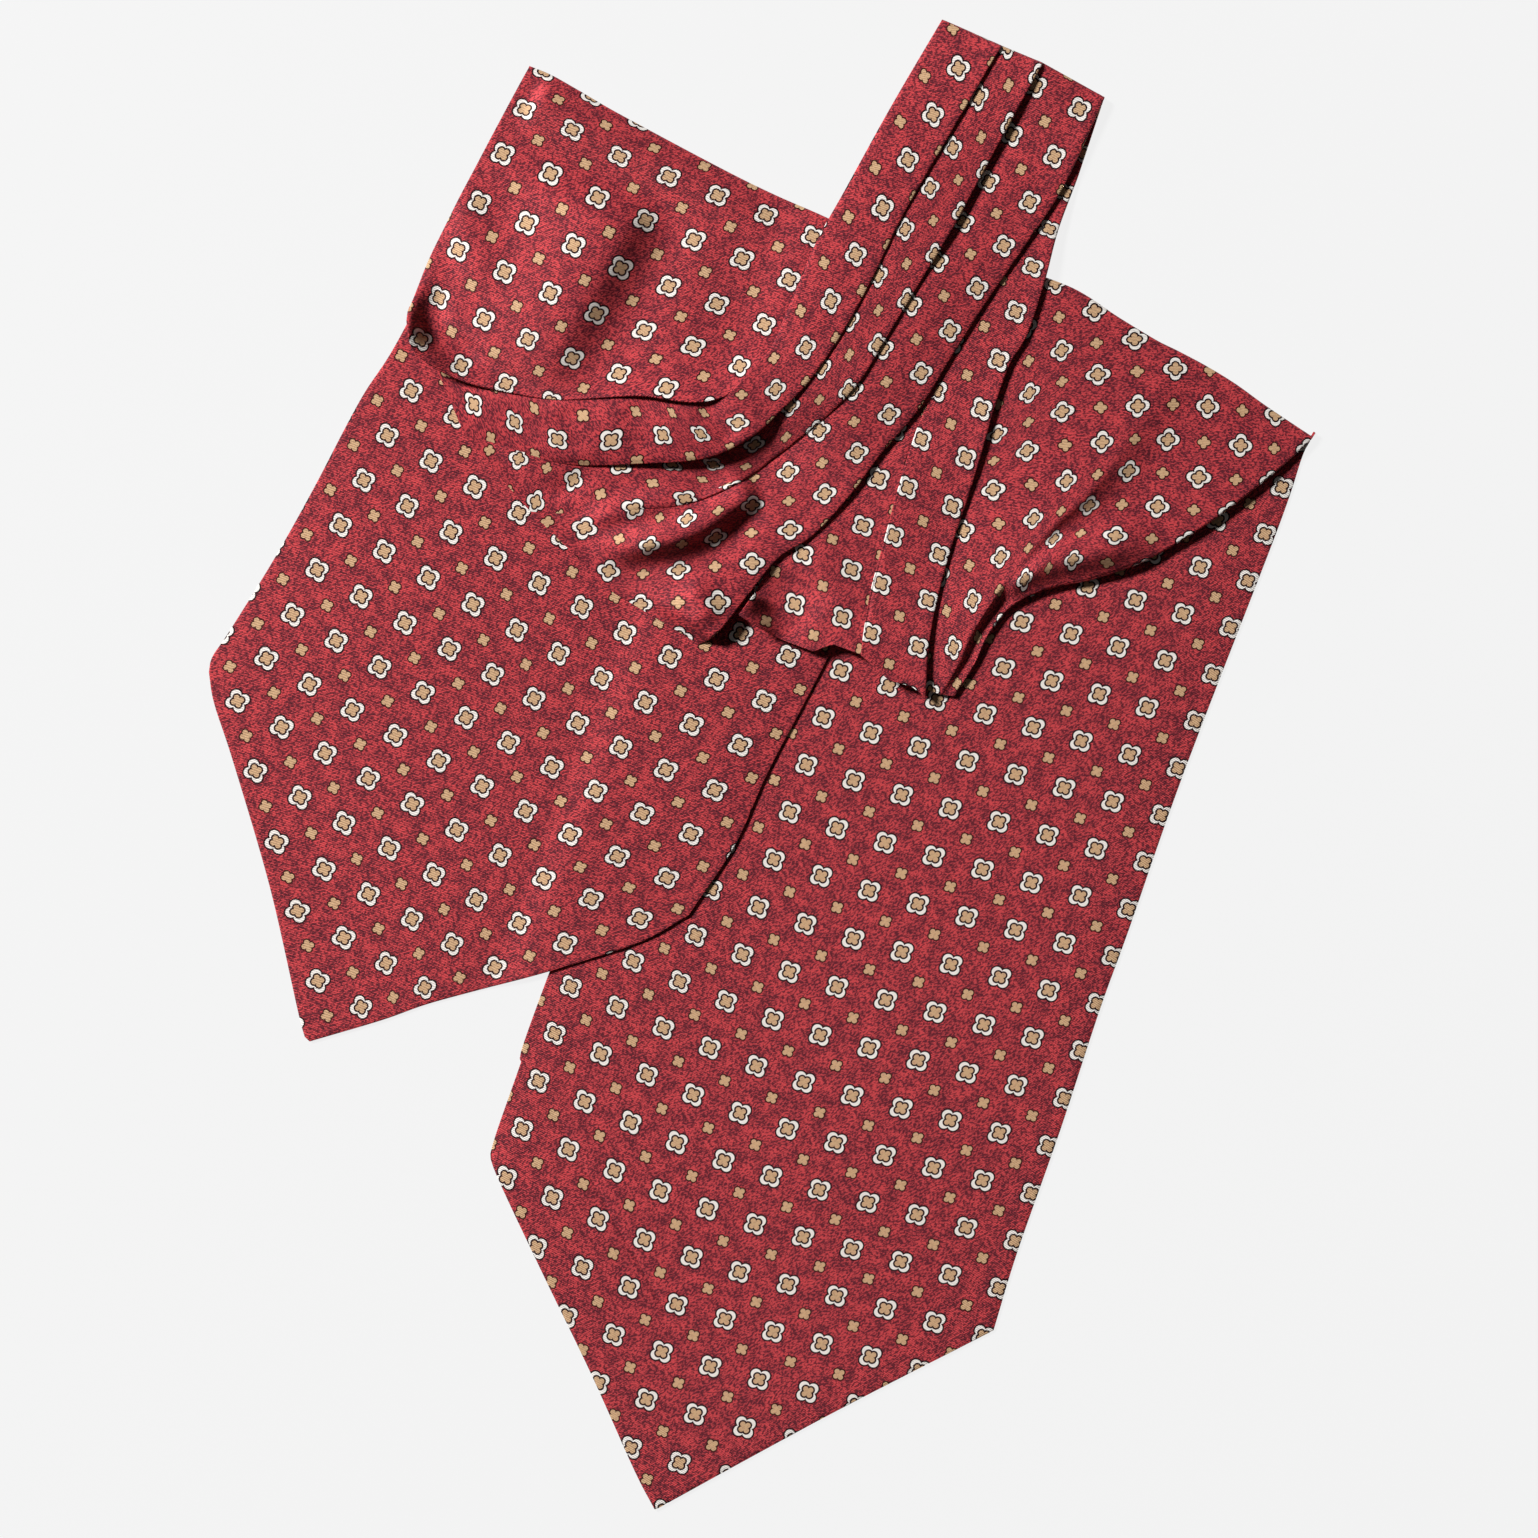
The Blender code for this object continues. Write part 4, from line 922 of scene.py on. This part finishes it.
# right fan
fan = {
    # inner edge, ridge and right edge
    "columns": ("ax", "ay", "bx", "by", "cx", "cy", "bHeight", "valleyHeight", "cHeight"),
    "sections": (
        (79.5, 144.0, 122.5, 121.0, 161.5, 96.0, 1.85, 1.85, 1.85),
        (75.0, 125.5, 114.0, 106.5, 146.0, 82.5, 2.9, 2.1, 2.9),
        (69.5, 109.5, 106.5, 93.0, 129.5, 70.0, 3.6, 2.1, 3.1),
        (63.5, 93.5, 97.0, 80.5, 112.5, 60.0, 4.6, 2.1, 2.7),
        (57.0, 79.0, 86.0, 70.0, 97.5, 54.5, 5.2, 2.1, 2.3),
        (50.5, 64.0, 76.0, 59.0, 84.0, 51.5, 5.1, 2.1, 2.1),
        (44.5, 51.0, 68.0, 48.5, 73.5, 46.5, 4.6, 2.0, 2.2),
        (40.5, 39.0, 62.0, 39.0, 66.5, 38.0, 4.0, 2.0, 2.4),
        (39.5, 30.0, 58.0, 30.0, 62.5, 29.5, 3.4, 2.0, 2.2),
        (43.5, 23.5, 52.5, 20.5, 56.5, 20.0, 2.4, 1.9, 1.95)),
    "fold": ((79.5, 144), *rightBlade["top"][2:]),
    "foldSections": 1.5,
    "inside": (60.0, 0.0),
    "steps": 14, "innerCols": 24, "outerCols": 18,
    "liftStart": 0.05,            # how much of its lift the inner edge has
    # distance of the valley's foot from the ridge, and how sharp the ridge is
    "footReach": ((0.0, 1.5, 3.0, 5.0, 9.0), (14.0, 10.0, 7.0, 4.5, 2.0)),
    "footLimit": 0.45,
    "crisp": ((1.0, 3.2), (0.0, 1.0)),
    # shares of the way to the foot, and of the drop where the ridge is sharp
    "valleySteps": ((0.12, 0.2), (0.28, 0.42), (0.45, 0.62), (0.62, 0.78), (0.8, 0.91)),
    "foldRadius": 0.55, "foldShare": ((0.0, 0.6, 9.0), (0.3, 1.0, 0.8)), "outlineShare": 0.8,
    "creaseFrom": 26, "creaseCols": 8,   # the creases come in over these columns
    "creases": (
        # the shoulder from which the cloth falls to its right edge
        crease(((66, 50), (71, 54), (78.7, 57.2), (87.5, 59.7), (99.2, 62), (110.9, 64), (119, 68)),
               7.5, 5.0, 4.6, 0.15, 0.4),),
    "flowers": (
        (59.1, 68.3, 0, -1), (67.6, 80.3, 0, 0), (77.5, 91.7, 0, 1), (87.8, 103.1, 0, 2),
        (98.3, 113.9, 0, 3), (109.1, 124.2, 0, 4), (69.0, 96.4, -1, 1), (78.4, 108.4, -1, 2),
        (87.8, 120.9, -1, 3), (97.4, 132.6, -1, 4), (86.0, 140.8, -2, 4), (56.2, 34.1, 1, -3),
        (61.7, 47.8, 1, -2), (69.9, 60.4, 1, -1), (79.6, 71.5, 1, 0), (89.2, 82.6, 1, 1),
        (99.7, 94.0, 1, 2), (110.0, 104.6, 1, 3), (121.1, 115.7, 1, 4), (95.6, 75.6, 2, 1),
        (107.3, 85.8, 2, 2), (118.8, 94.9, 2, 3), (130.5, 104.6, 2, 4), (90.7, 59.8, 3, 0),
        (103.3, 66.5, 3, 1), (115.8, 75.3, 3, 2), (127.8, 83.8, 3, 3), (140.1, 93.2, 3, 4),
        (150.3, 102.2, 3, 5)),
}


def fanGrid():
    cut, section, (a, b, c) = cutSections(fan, "abc")
    run = c - b
    width = np.linalg.norm(run, axis=1)[:, None]
    reach = between(section, *fan["footReach"])[:, None]
    foot = b + run / width * np.minimum(reach, width * fan["footLimit"])
    crisp = between(section, *fan["crisp"])
    base, valley = cloth["floor"] + cloth["layer"], cut["valleyHeight"]
    rows = []
    for share in np.concatenate([np.linspace(0, 0.85, fan["innerCols"]), [0.89, 0.93, 0.965, 1.0]]):
        lift = (cut["bHeight"] - base) * (fan["liftStart"] + (1 - fan["liftStart"]) * share)
        rows.append(np.column_stack([a * (1 - share) + b * share, base + lift]))
    for share, down in fan["valleySteps"]:
        down = ease(share) * (1 - crisp) + down * crisp
        height = cut["bHeight"] * (1 - down) + valley * down
        rows.append(np.column_stack([b * (1 - share) + foot * share, height]))
    for share in np.concatenate([np.linspace(0.0, 0.9, fan["outerCols"]), [0.94, 0.97, 1.0]]):
        height = valley + (cut["cHeight"] - valley) * ease(share)
        rows.append(np.column_stack([foot * (1 - share) + c * share, height]))
    grid = np.stack(rows, axis=1)
    creased = ease((np.arange(grid.shape[1]) - fan["creaseFrom"]) / fan["creaseCols"])
    grid[..., 2] += creaseHeight(grid[..., :2], fan["creases"]) * creased[None]

    # the first rows follow the fold, and the right edge is folded under
    fold = evenly(fan["fold"], grid.shape[1])
    start = fold + inwardOf(fold, fan["inside"]) * cloth["turnReach"]
    near = ease(1.0 - section / fan["foldSections"])[:, None, None]
    grid[..., :2] += near * (start - grid[0, :, :2])[None]
    grid = toOutline(grid, True, np.full(len(grid), fan["outlineShare"]))
    shares = between(section, *fan["foldShare"])
    grid, flat = withRoll(grid, grid[..., :2], 1, True, shares, fan["foldRadius"])
    inward = inwardOf(evenly(fan["fold"], grid.shape[1]), fan["inside"])
    fold = grid[0, :, :2] - inward * cloth["turnReach"]
    inward = inwardOf(fold, fan["inside"])
    axis = fold + inward * cloth["turnReach"]
    grid, flat = turnedOver(grid, flat, axis, inward, cloth["floor"], grid[0, :, 2])
    return grid, printMap(fan["flowers"])(flat)


rightFanCloth = makeCloth("rightFanCloth", [fanGrid()], silkPrint)

# each sheet rides on the root body, and the solids it replaces are hidden
for piece, nodes, flatSize, area, restsOn in (
        (rightBladeCloth, ("right_blade",), (0.20, 0.36), 0.052, ()),
        (leftBladeCloth, ("left_blade",), (0.18, 0.29), 0.039, ("rightBladeCloth",)),
        (frontCloth, ("left_panel", "front_pleat_upper", "front_pleat_middle", "front_pleat_lower"),
         (0.155, 0.28), 0.025, ("leftBladeCloth", "backCloth")),
        (backCloth, ("back_pleat_left", "back_pleat_right"), (0.075, 0.2), 0.0112,
         ("leftBladeCloth", "rightBladeCloth")),
        (rightFanCloth, ("right_fan",), (0.09, 0.15), 0.0076, ("rightBladeCloth",))):
    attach(piece, "root")
    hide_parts(*nodes)

# floor, light and camera
studio = {
    "floorSize": 3.0, "floorTone": 0.06, "floorGlow": 0.845, "floorRoughness": 0.9, "worldTone": 0.035,
    "keyPlace": (-2.17, 1.52, 1.79), "keySize": 0.7, "keyPower": 162.0,
    "aim": (0.00234, -0.0013), "height": 1.25, "lens": 100.0, "sensor": 36.0,
}


def addStudio():
    bpy.ops.object.select_all(action="DESELECT")
    bpy.ops.mesh.primitive_plane_add(size=studio["floorSize"], location=(0, 0, 0))
    floor = bpy.context.object
    floor.name = "paleFloor"
    paint = bpy.data.materials.new("paleFloorPaint")
    paint.use_nodes = True
    tone = studio["floorTone"]
    for name, value in (("Base Color", (tone, tone, tone, 1)), ("Roughness", studio["floorRoughness"]),
                        ("Specular IOR Level", 0.0), ("Emission Color", (1, 1, 1, 1)),
                        ("Emission Strength", studio["floorGlow"])):
        paint.node_tree.nodes["Principled BSDF"].inputs[name].default_value = value
    floor.data.materials.append(paint)
    bpy.ops.object.light_add(type="AREA", location=studio["keyPlace"])
    lamp = bpy.context.object
    lamp.name = "keyLight"
    lamp.data.shape = "DISK"
    lamp.data.size = studio["keySize"]
    lamp.data.energy = studio["keyPower"]
    lamp.rotation_euler = lamp.location.to_track_quat("Z", "Y").to_euler()
    world = bpy.data.worlds.new("paleRoom")
    world.use_nodes = True
    tone = studio["worldTone"]
    world.node_tree.nodes["Background"].inputs["Color"].default_value = (tone, tone, tone, 1)
    bpy.context.scene.world = world
    camera = bpy.data.objects.new("camera", bpy.data.cameras.new("camera"))
    camera.data.sensor_width = studio["sensor"]
    camera.data.lens = studio["lens"]
    camera.location = (*studio["aim"], studio["height"])
    bpy.context.scene.collection.objects.link(camera)
    bpy.context.scene.camera = camera
    bpy.context.scene.view_settings.view_transform = "Standard"


addStudio()
print("set the studio")
